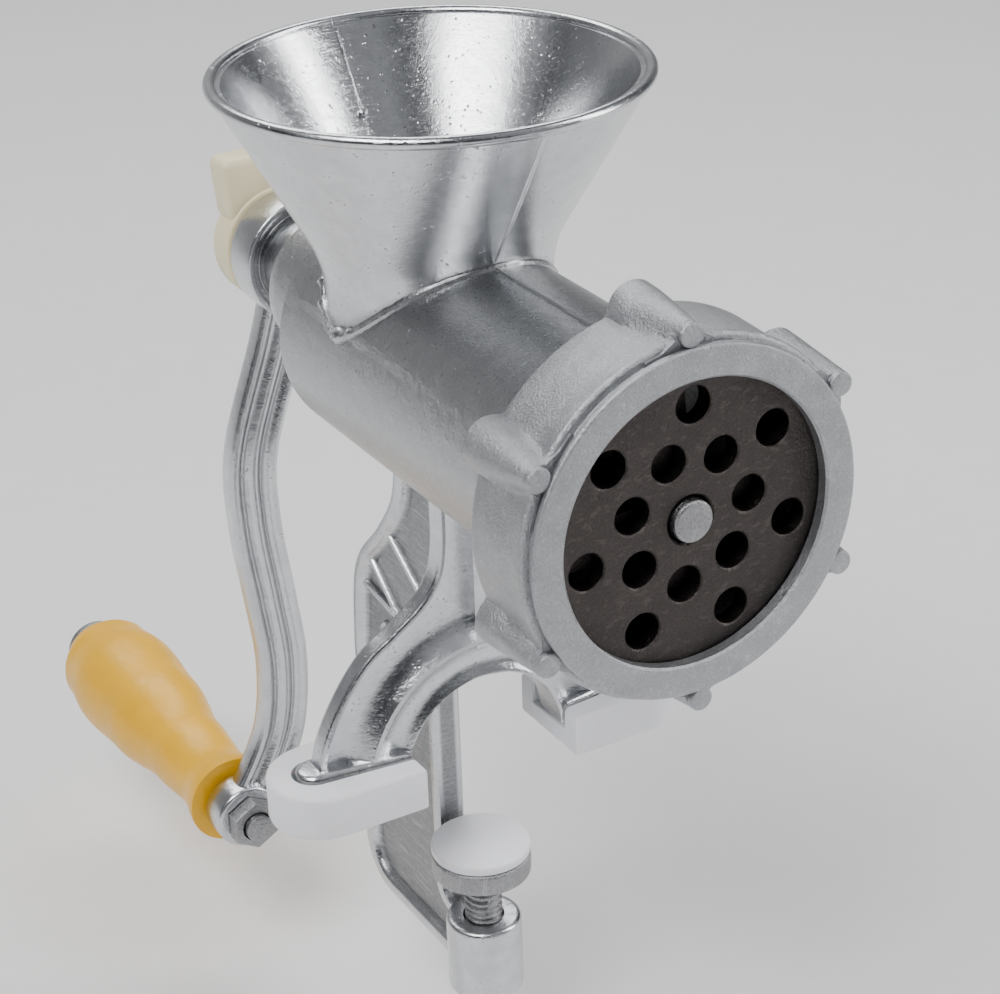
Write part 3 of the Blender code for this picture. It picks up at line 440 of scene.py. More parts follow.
def blend(tree, factor, a, b):
    """Colour a where factor is 0, colour b where it is 1."""
    mixed = add_node(tree, "Mix", {0: factor}, data_type="RGBA")
    for index, colour in ((6, a), (7, b)):
        if isinstance(colour, bpy.types.NodeSocket):
            tree.links.new(colour, mixed.inputs[index])
        else:
            mixed.inputs[index].default_value = (*colour, 1)
    return mixed.outputs[2]


def stretched(tree, coords, scale):
    return add_node(tree, "Mapping", {"Vector": coords, "Scale": scale}).outputs[0]


def bumps(tree, heights):
    """Bump nodes one on another, from (height, strength, distance)."""
    normal = None
    for height, strength, distance in heights:
        inputs = {"Height": height, "Strength": strength, "Distance": distance}
        if normal:
            inputs["Normal"] = normal
        normal = add_node(tree, "Bump", inputs).outputs[0]
    return normal


def new_material(name):
    material = bpy.data.materials.new(name + "_look")
    material.use_nodes = True
    tree = material.node_tree
    coords = add_node(tree, "TexCoord").outputs["Object"]
    return material, tree, tree.nodes["Principled BSDF"], coords


def shade(value, share):
    return tuple(part * share for part in value)


def finish_shader(tree, shader, colour, roughness, normal, **constants):
    tree.links.new(colour, shader.inputs["Base Color"])
    tree.links.new(roughness, shader.inputs["Roughness"])
    tree.links.new(normal, shader.inputs["Normal"])
    for name, value in constants.items():
        shader.inputs[name.replace("_", " ")].default_value = value


def scratches(tree, coords, scale, amount):
    """Fine lines: 0 nearly everywhere, up to 1 along them."""
    grain = noise_at(tree, stretched(tree, coords, scale), 1.0, 2.0)
    return spread(tree, grain, 0.62 - amount, 0.66, 0.0, 1.0)


def casting_material(colour):
    """Tumbled aluminium: bright on the hopper, greyer and pitted on the barrel, darkened by painted shade and
    rougher in the arm's recessed web, with painted shade in the gap between neck and crank hub.
    """
    material, tree, shader, coords = new_material("cast_aluminium")
    place = add_node(tree, "SeparateXYZ", {0: coords}).outputs
    up = sums(tree, "SUBTRACT", place[2], HEIGHT)
    radius = sums(tree, "SQRT", sums(tree, "ADD", sums(tree, "MULTIPLY", place[0], place[0]),
                                     sums(tree, "MULTIPLY", up, up)), 0.0)
    ahead = spread(tree, place[1], 44 * MM, 50 * MM, 1.0, 0.0)
    barrel = sums(tree, "MULTIPLY", spread(tree, radius, 31.0 * MM, 32.4 * MM, 1.0, 0.0), ahead)
    # the faces round the drive axis in the gap between the neck and the crank hub, where painted shade goes
    hub = sums(tree, "MULTIPLY", spread(tree, radius, 13.6 * MM, 14.8 * MM, 1.0, 0.0),
               spread(tree, place[1], 58 * MM, 60 * MM, 0.0, 1.0))
    aside = sums(tree, "ABSOLUTE", place[0], 0.0)
    # the clamp arm's recessed web below the barrel, which takes painted shade and a rougher finish
    web = sums(tree, "MULTIPLY", spread(tree, aside, 1.7 * MM, 2.6 * MM, 1.0, 0.0),
               spread(tree, place[1], -11.0 * MM, -8.0 * MM, 0.0, 1.0))
    web = sums(tree, "MULTIPLY", web, spread(tree, place[2], 76 * MM, 82 * MM, 1.0, 0.0))
    web = sums(tree, "MULTIPLY", web, ahead)
    hopper = spread(tree, place[2], HEIGHT + 14 * MM, HEIGHT + 24 * MM, 0.0, 1.0)
    calm = sums(tree, "SUBTRACT", spread(tree, barrel, 0.0, 1.0, 0.16, 0.42),
                sums(tree, "MULTIPLY", hopper, 0.10))
    wide = noise_at(tree, coords, 38.0, 3.0)
    blotch = noise_at(tree, coords, 210.0, 5.0, 0.6)
    grain = noise_at(tree, coords, 1150.0, 4.0, 0.65)
    fine = noise_at(tree, coords, 3600.0, 2.0, 0.6)
    pit = add_node(tree, "TexVoronoi", {"Vector": coords, "Scale": 620.0}).outputs["Distance"]
    pits = sums(tree, "MULTIPLY", spread(tree, pit, 0.10, 0.26, 1.0, 0.0),
                spread(tree, blotch, 0.46, 0.62, 0.0, 1.0))
    ground = sums(tree, "MULTIPLY", spread(tree, aside, 3 * MM, 9 * MM, 1.0, 0.0),
                  scratches(tree, coords, (90, 90, 2600), 0.05))
    marks = sums(tree, "MAXIMUM", sums(tree, "MULTIPLY", ground, 0.8),
                 sums(tree, "MULTIPLY", scratches(tree, coords, (160, 900, 2300), 0.0), 0.5))
    tone = blend(tree, spread(tree, blotch, 0.3, 0.72, 0.0, 1.0), shade(colour, 0.80), colour)
    tone = blend(tree, sums(tree, "MULTIPLY", spread(tree, wide, 0.4, 0.7, 0.0, 1.0), 0.35), tone,
                 shade(colour, 0.72))
    tone = blend(tree, sums(tree, "MULTIPLY", barrel, 0.7), tone, shade(colour, 0.52))
    # painted shade: the arm's recessed web under the barrel is darkened in colour
    tone = blend(tree, sums(tree, "MULTIPLY", web, spread(tree, grain, 0.35, 0.7, 0.9, 0.6)), tone,
                 shade(colour, 0.27))
    # painted shade: the gap between the neck and the crank hub is darkened in colour
    tone = blend(tree, sums(tree, "MULTIPLY", hub, 0.8), tone, shade(colour, 0.42))
    tone = blend(tree, sums(tree, "MULTIPLY", pits, 0.55), tone, shade(colour, 0.34))
    tone = blend(tree, sums(tree, "MULTIPLY", marks, 0.45), tone, shade(colour, 1.08))
    rough = spread(tree, grain, 0.3, 0.72, 0.15, 0.28)
    rough = sums(tree, "ADD", rough, sums(tree, "MULTIPLY", barrel, 0.11))
    rough = sums(tree, "ADD", rough, sums(tree, "MULTIPLY", web, 0.22))
    rough = sums(tree, "SUBTRACT", rough, sums(tree, "MULTIPLY", hopper, 0.02))
    normal = bumps(tree, [(blotch, calm, 1.1 * MM), (grain, calm, 0.36 * MM), (fine, 0.3, 0.10 * MM),
                          (sums(tree, "SUBTRACT", 1.0, pits), 0.6, 0.15 * MM), (marks, 0.4, 0.06 * MM)])
    finish_shader(tree, shader, tone, rough, normal, Metallic=1.0)
    return material


def metal_material(name, colour, low, high, grain_scale, wear, brushed=(700, 700, 700)):
    """A plain metal with grain, faint stains and wear marks along the brushed direction."""
    material, tree, shader, coords = new_material(name)
    blotch = noise_at(tree, coords, 150.0, 5.0, 0.6)
    grain = noise_at(tree, coords, grain_scale, 4.0, 0.6)
    marks = scratches(tree, coords, brushed, 0.04)
    pit = add_node(tree, "TexVoronoi", {"Vector": coords, "Scale": grain_scale * 0.8}).outputs["Distance"]
    pits = spread(tree, pit, 0.06, 0.2, 1.0, 0.0)
    tone = blend(tree, spread(tree, blotch, 0.3, 0.7, 0.0, 1.0), shade(colour, 0.78), colour)
    tone = blend(tree, spread(tree, grain, 0.42, 0.62, 0.5, 0.0), tone, shade(colour, 0.55))
    tone = blend(tree, sums(tree, "MULTIPLY", pits, 0.5), tone, shade(colour, 0.45))
    tone = blend(tree, sums(tree, "MULTIPLY", marks, wear), tone, shade(colour, 1.6))
    rough = spread(tree, grain, 0.3, 0.7, low, high)
    normal = bumps(tree, [(blotch, 0.4, 0.9 * MM), (grain, 0.6, 0.5 * MM), (marks, 0.4, 0.05 * MM)])
    finish_shader(tree, shader, tone, rough, normal, Metallic=1.0)
    return material


def plastic_material(name, colour, low, high, glow, mottle):
    """A moulded plastic: soft mottling, an orange-peel surface and a little light inside."""
    material, tree, shader, coords = new_material(name)
    cloud = noise_at(tree, coords, 70.0, 4.0, 0.6)
    fleck = noise_at(tree, coords, 520.0, 3.0, 0.6)
    peel = noise_at(tree, coords, 900.0, 2.0, 0.5)
    marks = scratches(tree, coords, (500, 120, 1500), 0.0)
    tone = blend(tree, spread(tree, cloud, 0.32, 0.68, 0.0, 1.0), shade(colour, 1 - mottle), colour)
    tone = blend(tree, spread(tree, fleck, 0.55, 0.75, 0.0, mottle * 2), tone, shade(colour, 0.72))
    rough = sums(tree, "ADD", spread(tree, fleck, 0.3, 0.7, low, high), sums(tree, "MULTIPLY", marks, 0.1))
    normal = bumps(tree, [(cloud, 0.3, 1.5 * MM), (peel, 0.3, 0.20 * MM), (marks, 0.2, 0.03 * MM)])
    finish_shader(tree, shader, tone, rough, normal, Subsurface_Weight=glow, Subsurface_Scale=1.5 * MM)
    shader.inputs["Subsurface Radius"].default_value = (1.0, 0.8, 0.5)
    return material


def finish_named(name):
    """The material of a slot, made the first time it is asked for."""
    label = name + "_look"
    if label in bpy.data.materials:
        return bpy.data.materials[label]
    tint = bpy.context.scene.grinder_colours
    makers = {
        "cast_aluminium": lambda: casting_material(tint.casting),
        "ring_aluminium": lambda: metal_material("ring_aluminium", tint.ring, 0.34, 0.52, 1900.0, 0.15),
        "plate_steel": lambda: metal_material("plate_steel", tint.plate, 0.28, 0.46, 1500.0, 0.35,
                                              (480, 300, 900)),
        "turned_steel": lambda: metal_material("turned_steel", tint.steel, 0.24, 0.40, 1600.0, 0.3,
                                               (120, 2200, 120)),
        "yellow_plastic": lambda: plastic_material("yellow_plastic", tint.yellow, 0.30, 0.42, 0.12, 0.10),
        "cream_plastic": lambda: plastic_material("cream_plastic", tint.cream, 0.34, 0.46, 0.15, 0.04),
        "white_plastic": lambda: plastic_material("white_plastic", tint.white, 0.30, 0.42, 0.35, 0.04),
        "brown_bush": lambda: plastic_material("brown_bush", (0.32, 0.17, 0.07), 0.45, 0.6, 0.0, 0.12),
    }
    return makers[name]()


# ---------------------------------------------------------------- the casting

LEG_Y = SCREW.y
BARREL_R = 30.1 * MM
BARREL_REAR = 20.5 * MM
NECK_R = 19.5 * MM
HEAD_R = 37.6 * MM
HEAD_BACK = HEAD_FRONT + 13 * MM
HOPPER_NECK_R = 27.8 * MM
HOPPER_BEND_R = 29.0 * MM
HOPPER_SLOPE = radians(28.4)
HOPPER_NARROW = 0.88
WALL = 3.0 * MM
REAR_INSIDE = 14.5 * MM
BORE_R = 27.1 * MM
SEAT_R = PLATE_R + 0.3 * MM
SEAT_BACK = -98 * MM
BUSH_R = 12.3 * MM
ARCH_Z = 5 * MM
ARCH_R = 22.3 * MM
FOOT_LOW = 5.8 * MM
FOOT_TOP = FOOT_LOW + 7.5 * MM
FOOT_OUT = 50.5 * MM
BOARD_TOP = -50 * MM
BOSS_LOW = -70 * MM
HOPPER_Y = -7 * MM
LIP_R = 1.45 * MM


def hopper_radius(height, inset=0.0):
    """Radius of the hopper at a height, moved inwards by a wall."""
    bend_top_r = HOPPER_NECK_R + HOPPER_BEND_R * (1 - cos(HOPPER_SLOPE))
    bend_top = HOPPER_TOP - (HOPPER_RIM_R - bend_top_r) / tan(HOPPER_SLOPE)
    bend_low = bend_top - HOPPER_BEND_R * sin(HOPPER_SLOPE)
    if height > bend_top:
        return HOPPER_RIM_R - (HOPPER_TOP - height) * tan(HOPPER_SLOPE) - inset / cos(HOPPER_SLOPE)
    share = max(0.0, (height - bend_low) / HOPPER_BEND_R)
    return HOPPER_NECK_R + HOPPER_BEND_R * (1 - sqrt(1 - share * share)) - inset


def hopper_depth(height):
    """How much narrower the hopper is along Y than along X, at a height."""
    low = HEIGHT + BARREL_R
    share = min(1.0, max(0.0, (height - low) / (HOPPER_TOP - 1.4 * MM - low)))
    return HOPPER_NARROW + (1 - HOPPER_NARROW) * sin(share * pi / 2)


def hopper_solid(inset, low, high, facets, levels=36):
    profile = [(0, high)]
    for step in range(levels + 1):
        height = high - (high - low) * step / levels
        profile.append((hopper_radius(height, inset), height))
    profile.append((0, low))
    bm = turned(profile, "Z", (0, HOPPER_Y, 0), facets)
    for vert in bm.verts:
        vert.co.y = HOPPER_Y + (vert.co.y - HOPPER_Y) * hopper_depth(vert.co.z)
    return bm


def barrel_solid(facets):
    corners = [(0, NECK_REAR), (NECK_R, NECK_REAR), (NECK_R, BARREL_REAR + 0.8 * MM),
               (NECK_R + 0.8 * MM, BARREL_REAR), (BARREL_R, BARREL_REAR), (BARREL_R, HEAD_BACK + 8 * MM),
               (HEAD_R, HEAD_BACK), (HEAD_R, HEAD_FRONT), (0, HEAD_FRONT)]
    return turned(softened(corners, 0.6 * MM), "Y", DRIVE, facets)


def barrel_bore(facets):
    beyond = 5 * MM
    corners = [(0, NECK_REAR + beyond), (BUSH_R, NECK_REAR + beyond), (BUSH_R, REAR_INSIDE),
               (BORE_R, REAR_INSIDE), (BORE_R, SEAT_BACK), (SEAT_R, SEAT_BACK), (SEAT_R, HEAD_FRONT - beyond),
               (0, HEAD_FRONT - beyond)]
    return turned(corners, "Y", DRIVE, facets)


def leg_edge():
    """The outer edge of the right leg, from the barrel to the foot, as (x, z)."""
    return smooth_path([(9.6 * MM, 88 * MM), (9.6 * MM, 63 * MM), (13.5 * MM, 52.5 * MM),
                        (22.3 * MM, 45.5 * MM), (31 * MM, 39.5 * MM), (38.5 * MM, 30 * MM),
                        (44 * MM, 19 * MM), (FOOT_OUT - 4.5 * MM, 8 * MM)], 7)


def arch_path(radius):
    start = asin((FOOT_LOW - ARCH_Z) / radius)
    return arc((0, ARCH_Z), radius, pi - start, start, 40)


def foot(side):
    half = 8 * MM
    toe = half - 3 * MM
    points = [Vector((ARCH_R, LEG_Y - half)), *arc((FOOT_OUT - toe, LEG_Y), toe, -pi / 2, pi / 2, 12),
              Vector((ARCH_R, LEG_Y + half))]
    return slab([(side * p.x, p.y) for p in points], "Z", FOOT_LOW, FOOT_TOP, 1.6 * MM, 4)


def leg_pieces(flash):
    """Web, rim beads, the deep band round the arch, the rib up the stem and both feet."""
    edge = leg_edge()
    arch = arch_path(ARCH_R + 0.6 * MM)
    outline = [Vector((-p.x, p.y)) for p in edge] + [Vector((-edge[-1].x, FOOT_LOW)), *arch,
                                                   Vector((edge[-1].x, FOOT_LOW)), *reversed(edge)]
    web = slab(outline, "Y", LEG_Y - 1.6 * MM, LEG_Y + 1.6 * MM)
    bead = [(0, 2.0), (0.2, 2.5), (0.7, 2.8), (1.2, 2.6), (1.7, 2.1), (2.6, 1.4)]
    bead = both_ways([(a * MM, b * MM) for a, b in bead])
    beads = [swept([Vector((-p.x, p.y)) for p in edge], bead, in_front_plane(LEG_Y)),
             swept([Vector((p.x, p.y)) for p in edge], [(-a, b) for a, b in bead], in_front_plane(LEG_Y))]
    band = [(0, 5.2), (0.5, 5.8), (1.2, 5.6), (2.2, 4.6), (4.5, 4.0), (7.0, 4.3), (8.8, 5.3), (9.8, 6.0),
            (10.8, 5.8), (11.8, 4.8), (13.2, 3.4), (15.2, 2.2), (17.4, 1.4)]
    band = swept(arch_path(ARCH_R), both_ways([(a * MM, b * MM) for a, b in band]), in_front_plane(LEG_Y))
    for vert in band.verts:
        reach = Vector((vert.co.x, vert.co.z - ARCH_Z)).length
        if reach < ARCH_R + 1.2 * MM:
            ragged = noise.noise(Vector((vert.co.x, vert.co.y * 0.4, vert.co.z)) * 320)
            pull = 1 - flash * max(0.0, ragged) / ARCH_R
            vert.co.x *= pull
            vert.co.z = ARCH_Z + (vert.co.z - ARCH_Z) * pull
    rib = slab([(-2.0 * MM, LEG_Y - 5.8 * MM), (2.0 * MM, LEG_Y - 5.8 * MM), (2.0 * MM, LEG_Y + 5.8 * MM),
                (-2.0 * MM, LEG_Y + 5.8 * MM)], "Z", ARCH_Z + ARCH_R + 8 * MM, HEIGHT - 24 * MM, 0.9 * MM, 2)
    return web, [*beads, band, rib, foot(-1), foot(1)]


def arm_outline():
    """The clamp arm from the side, as (y, z), counter-clockwise."""
    top = HEIGHT - 24 * MM
    under = BOSS_LOW + 2 * MM
    back = [Vector((15 * MM, top))]
    back += smooth_path([(15 * MM, 75 * MM), (18 * MM, 62 * MM), (27 * MM, 49.5 * MM), (38 * MM, 38 * MM),
                         (43 * MM, 27 * MM), (45 * MM, 8 * MM)], 6)
    back += reversed(arc((31 * MM, under + 14 * MM), 14 * MM, -pi / 2, 0, 10))
    front = [Vector((LEG_Y, under)), Vector((LEG_Y, BOARD_TOP))]
    front += arc((-4 * MM, BOARD_TOP + 4 * MM), 4 * MM, -pi / 2, 0, 6)
    front += [Vector((0, 14 * MM)), Vector((LEG_Y + 4 * MM, 31.3 * MM)), Vector((LEG_Y + 4 * MM, top))]
    return list(reversed(back + front))


def arm_pieces():
    outline = arm_outline()
    web = slab([(p.x, p.y) for p in outline], "X", -1.5 * MM, 1.5 * MM)
    rim = [(0, 3.3), (0.4, 3.85), (1.0, 4.0), (2.9, 4.0), (3.5, 3.7), (4.0, 3.0), (4.7, 2.0), (5.6, 1.4)]
    rim = swept(outline, both_ways([(a * MM, b * MM) for a, b in rim]), in_side_plane, closed=True)
    ribs = []
    for (y0, z0), (y1, z1) in (((24, 49), (-8, 29)), ((36, 38), (2, 12)), ((41, 28), (2, 22))):
        run = (Vector((y1, z1)) - Vector((y0, z0))).normalized()
        side = Vector((-run.y, run.x)) * 0.95
        quad = [Vector((y0, z0)) + side, Vector((y0, z0)) - side, Vector((y1, z1)) - side,
                Vector((y1, z1)) + side]
        ribs.append(slab([(p.x * MM, p.y * MM) for p in quad], "X", -3 * MM, 3 * MM, 0.6 * MM, 2))
    eye = bar(3.4 * MM, "X", (0, 28 * MM, 17 * MM), -2.6 * MM, 2.6 * MM, 0.8 * MM, 32)
    boss = bar(10 * MM, "Z", SCREW, BOSS_LOW, BOARD_TOP + 2 * MM, 1.6 * MM, 48)
    return web, [rim, *ribs, eye, boss]


def saddle_curve(steps):
    """Where the hopper meets the barrel."""
    points = []
    for step in range(steps):
        angle = tau * step / steps
        height = HEIGHT + 20 * MM
        for _ in range(25):
            reach = hopper_radius(height) * cos(angle)
            height = HEIGHT + sqrt(max(0.0, BARREL_R ** 2 - reach ** 2))
        radius = hopper_radius(height)
        points.append(Vector((radius * cos(angle), HOPPER_Y + radius * hopper_depth(height) * sin(angle),
                              height)))
    return points


def round_bead(points, radii, closed, around=10):
    """A round bead along a curve in space, with its own radius at each point."""
    bm = bmesh.new()
    count = len(points)
    rings = []
    for i, (point, radius) in enumerate(zip(points, radii)):
        before = points[i - 1] if i or closed else point
        after = points[(i + 1) % count] if i < count - 1 or closed else point
        run = (after - before).normalized()
        side = run.cross(Vector((0, 0, 1)) if abs(run.z) < 0.9 else Vector((1, 0, 0))).normalized()
        top = side.cross(run)
        rings.append([point + radius * (side * cos(tau * k / around) + top * sin(tau * k / around))
                      for k in range(around)])
    verts, edges = chain(bm, rings[0], closed=True)
    first = list(edges)
    for ring in rings[1:]:
        grown = bmesh.ops.extrude_edge_only(bm, edges=edges)["geom"]
        fresh = {g for g in grown if isinstance(g, bmesh.types.BMVert)}
        verts = [next(e.other_vert(v) for e in v.link_edges if e.other_vert(v) in fresh) for v in verts]
        edges = [g for g in grown if isinstance(g, bmesh.types.BMEdge)
                 and g.verts[0] in fresh and g.verts[1] in fresh]
        for vert, place in zip(verts, ring):
            vert.co = place
    if closed:
        bmesh.ops.bridge_loops(bm, edges=first + edges)
    else:
        bmesh.ops.holes_fill(bm, edges=first + edges, sides=0)
    return tidy(bm, 1e-7)


def saddle_bead(size):
    """The rounded bead round the hopper's foot, ragged where it was left untrimmed."""
    points = saddle_curve(144)
    radii = []
    for point in points:
        rough = max(0.0, -point.x / HOPPER_RIM_R) * (1.0 if point.y > HOPPER_Y - 8 * MM else 0.3)
        radii.append(size * (1 + 0.10 * noise.noise(point * 260)
                             + 3.2 * rough * max(0.0, 0.1 + noise.noise(point * 420))))
    return round_bead(points, radii, True)


def parting_ridges(half):
    """The mould's joint: up the hopper's front and back, inside its back wall and along the barrel."""
    ridges = []
    for inset, side, low in ((0.0, -1, 142), (0.0, 1, 142), (WALL - 0.2 * MM, 1, 122)):
        points = []
        top = HOPPER_TOP - 2.5 * MM
        for step in range(30):
            height = low * MM + (top - low * MM) * step / 29
            radius = hopper_radius(height, inset) * hopper_depth(height)
            points.append(Vector((0, HOPPER_Y + side * radius, height)))
        radii = [half * (1 + 0.35 * noise.noise(p * 300)) for p in points]
        ridges.append(round_bead(points, radii, False, 8))
    for start, end in ((HEAD_BACK + 8.5 * MM, HOPPER_Y - 25 * MM), (HOPPER_Y + 25 * MM, BARREL_REAR - 1.5 * MM)):
        points = [Vector((0, start + (end - start) * k / 24, HEIGHT + BARREL_R)) for k in range(25)]
        ridges.append(round_bead(points, [half * (1 + 0.35 * noise.noise(p * 300)) for p in points], False, 8))
    lump_at = Vector((0, HOPPER_Y + hopper_radius(160 * MM, WALL) * hopper_depth(160 * MM), 160 * MM))
    lump = bmesh.new()
    bmesh.ops.create_icosphere(lump, subdivisions=3, radius=1.3 * MM)
    bmesh.ops.translate(lump, vec=lump_at, verts=lump.verts)
    for vert in lump.verts:
        vert.co += (vert.co - lump_at) * 0.3 * noise.noise(vert.co * 500)
    return ridges + [lump]


class GRINDER_OT_casting(bpy.types.Operator):
    """Make the cast body with its hopper, barrel, legs and clamp arm"""
    bl_idname = "grinder.casting"
    bl_label = "Casting"

    def execute(self, context):
        sizes = context.scene.grinder_sizes
        web, leg_parts = leg_pieces(sizes.flash)
        arm, arm_parts = arm_pieces()
        shell = joined(barrel_solid(sizes.facets),
                       hopper_solid(0, HEIGHT, HOPPER_TOP - LIP_R, sizes.facets), web, *leg_parts, arm, *arm_parts)
        inside = hopper_solid(WALL - 0.2 * MM, HEIGHT - 2 * MM, HOPPER_TOP + 4 * MM, sizes.facets)
        screw_hole = bar(5.5 * MM, "Z", SCREW, BOSS_LOW - 5 * MM, BOARD_TOP + 5 * MM, 0.1 * MM)
        key = bar(1.9 * MM, "Y", (0, 0, HEIGHT - SEAT_R), PLATE_BACK - 4 * MM, SEAT_BACK + 5.3 * MM, 0.1 * MM, 24)
        shell = cut(shell, barrel_bore(sizes.facets), inside, screw_hole, key)
        lip = [(HOPPER_RIM_R - LIP_R + LIP_R * cos(tau * k / 16), HOPPER_TOP - LIP_R + LIP_R * sin(tau * k / 16))
               for k in range(16)]
        lip = turned(lip, "Z", (0, HOPPER_Y, 0), sizes.facets, closed=True)
        whole = side_by_side(shell, lip, saddle_bead(sizes.bead), *parting_ridges(sizes.parting))
        finished("body_casting_finish", whole, finish_named("cast_aluminium"), "root",
                 ["body_casting"])
        return {"FINISHED"}


# ---------------------------------------------------------------- ring, plate and auger

RING_R = 40.6 * MM
RING_APERTURE_R = 32.45 * MM
LUGS = 6
LUG_START = radians(91.7)


def around_axis(angle):
    """Turns a shape made on +X, about the drive's axis, to an angle in the front view."""
    return Matrix.Translation(DRIVE) @ Matrix.Rotation(-angle, 4, "Y")


def lug(index):
    """A half-round grip rib with flared sides that leans in to the front."""
    angle = LUG_START - tau * index / LUGS
    front, back = RING_FRONT + 2.2 * MM, RING_BACK

    def outline(y):
        share = (y - front) / (back - front)
        half = 3.0 + 3.4 * min(1.0, share * 1.25)
        crest = (45.3 + 1.7 * share) * MM
        points = []
        for step in range(33):
            t = (step / 16 - 1) * 10.5
            surface = sqrt(RING_R ** 2 - (t * MM) ** 2) - 0.5 * MM
            skirt = max(0.0, min(1.0, (half + 4.0 - abs(t)) / (half + 1.0)))
            shape = 0.72 * sqrt(max(0.0, 1 - (t / half) ** 2)) + 0.28 * skirt * skirt * (3 - 2 * skirt)
            points.append(Vector((surface + (crest - RING_R + 0.5 * MM) * shape, y, t * MM)))
        return points + [Vector((RING_APERTURE_R, y, 10.5 * MM)), Vector((RING_APERTURE_R, y, -10.5 * MM))]

    rib = twisted(outline, front, back, 14)
    bmesh.ops.transform(rib, matrix=around_axis(angle), verts=rib.verts)
    at = Vector((42.4 * MM * cos(angle), 0, HEIGHT + 42.4 * MM * sin(angle)))
    button = bar(2.8 * MM, "Y", at, RING_FRONT + 0.7 * MM, RING_FRONT + 6 * MM, 0.6 * MM, 32)
    return [rib, button]


class GRINDER_OT_ring(bpy.types.Operator):
    """Make the ring nut with its six grip lugs"""
    bl_idname = "grinder.ring"
    bl_label = "Ring nut"

    def execute(self, context):
        facets = context.scene.grinder_sizes.facets
        skirt_in = HEAD_R + 0.5 * MM
        outside = [(0, 23.0), (41.3, 23.0), (41.1, 17.0), (40.8, 8.0), (41.3, 3.6), (40.6, 2.9), (39.0, 2.7),
                   (39.0, 2.0), (39.8, 1.7), (39.8, 0.0), (0, 0.0)]
        outside = [(radius * MM, RING_FRONT + back * MM) for radius, back in outside]
        inside = [(0, RING_BACK + 5 * MM), (skirt_in, RING_BACK + 5 * MM), (skirt_in, RING_FRONT + 3 * MM),
                  (RING_APERTURE_R, RING_FRONT + 3 * MM), (RING_APERTURE_R, RING_FRONT + 0.5 * MM),
                  (RING_APERTURE_R + 0.7 * MM, RING_FRONT - 0.2 * MM),
                  (RING_APERTURE_R + 0.7 * MM, RING_FRONT - 5 * MM), (0, RING_FRONT - 5 * MM)]
        lugs = [solid for index in range(LUGS) for solid in lug(index)]
        ring = joined(turned(softened(outside, 1.2 * MM, 4), "Y", DRIVE, facets), *lugs)
        ring = cut(ring, turned(inside, "Y", DRIVE, facets))
        finished("ring_nut_finish", ring, finish_named("ring_aluminium"), "ring",
                 ["ring_nut"])
        return {"FINISHED"}


def hole_cutter(radius, centre, chamfer):
    beyond = 4 * MM
    profile = [(0, PLATE_BACK + beyond), (radius + chamfer, PLATE_BACK + beyond),
               (radius + chamfer, PLATE_BACK), (radius, PLATE_BACK - chamfer),
               (radius, PLATE_FRONT + chamfer), (radius + chamfer, PLATE_FRONT),
               (radius + chamfer, PLATE_FRONT - beyond), (0, PLATE_FRONT - beyond)]
    return turned(profile, "Y", centre, 40)


class GRINDER_OT_plate(bpy.types.Operator):
    """Make the hole plate with its fourteen countersunk holes"""
    bl_idname = "grinder.plate"
    bl_label = "Hole plate"

    def execute(self, context):
        plate = bar(PLATE_R, "Y", DRIVE, PLATE_FRONT, PLATE_BACK, 0.5 * MM, context.scene.grinder_sizes.facets)
        cutters = [hole_cutter(5.5 * MM, DRIVE, 0.4 * MM),
                   hole_cutter(1.9 * MM, Vector((0, 0, HEIGHT - SEAT_R)), 0.1 * MM)]
        for pitch, start in ((14.9 * MM, radians(110.4)), (25.8 * MM, radians(88.3))):
            for hole in range(7):
                angle = start - tau * hole / 7
                centre = Vector((pitch * cos(angle), 0, HEIGHT + pitch * sin(angle)))
                cutters.append(hole_cutter(4.2 * MM, centre, 0.35 * MM))
        finished("hole_plate_finish", cut(plate, side_by_side(*cutters)), finish_named("plate_steel"), "plate",
                 ["hole_plate"])
        return {"FINISHED"}


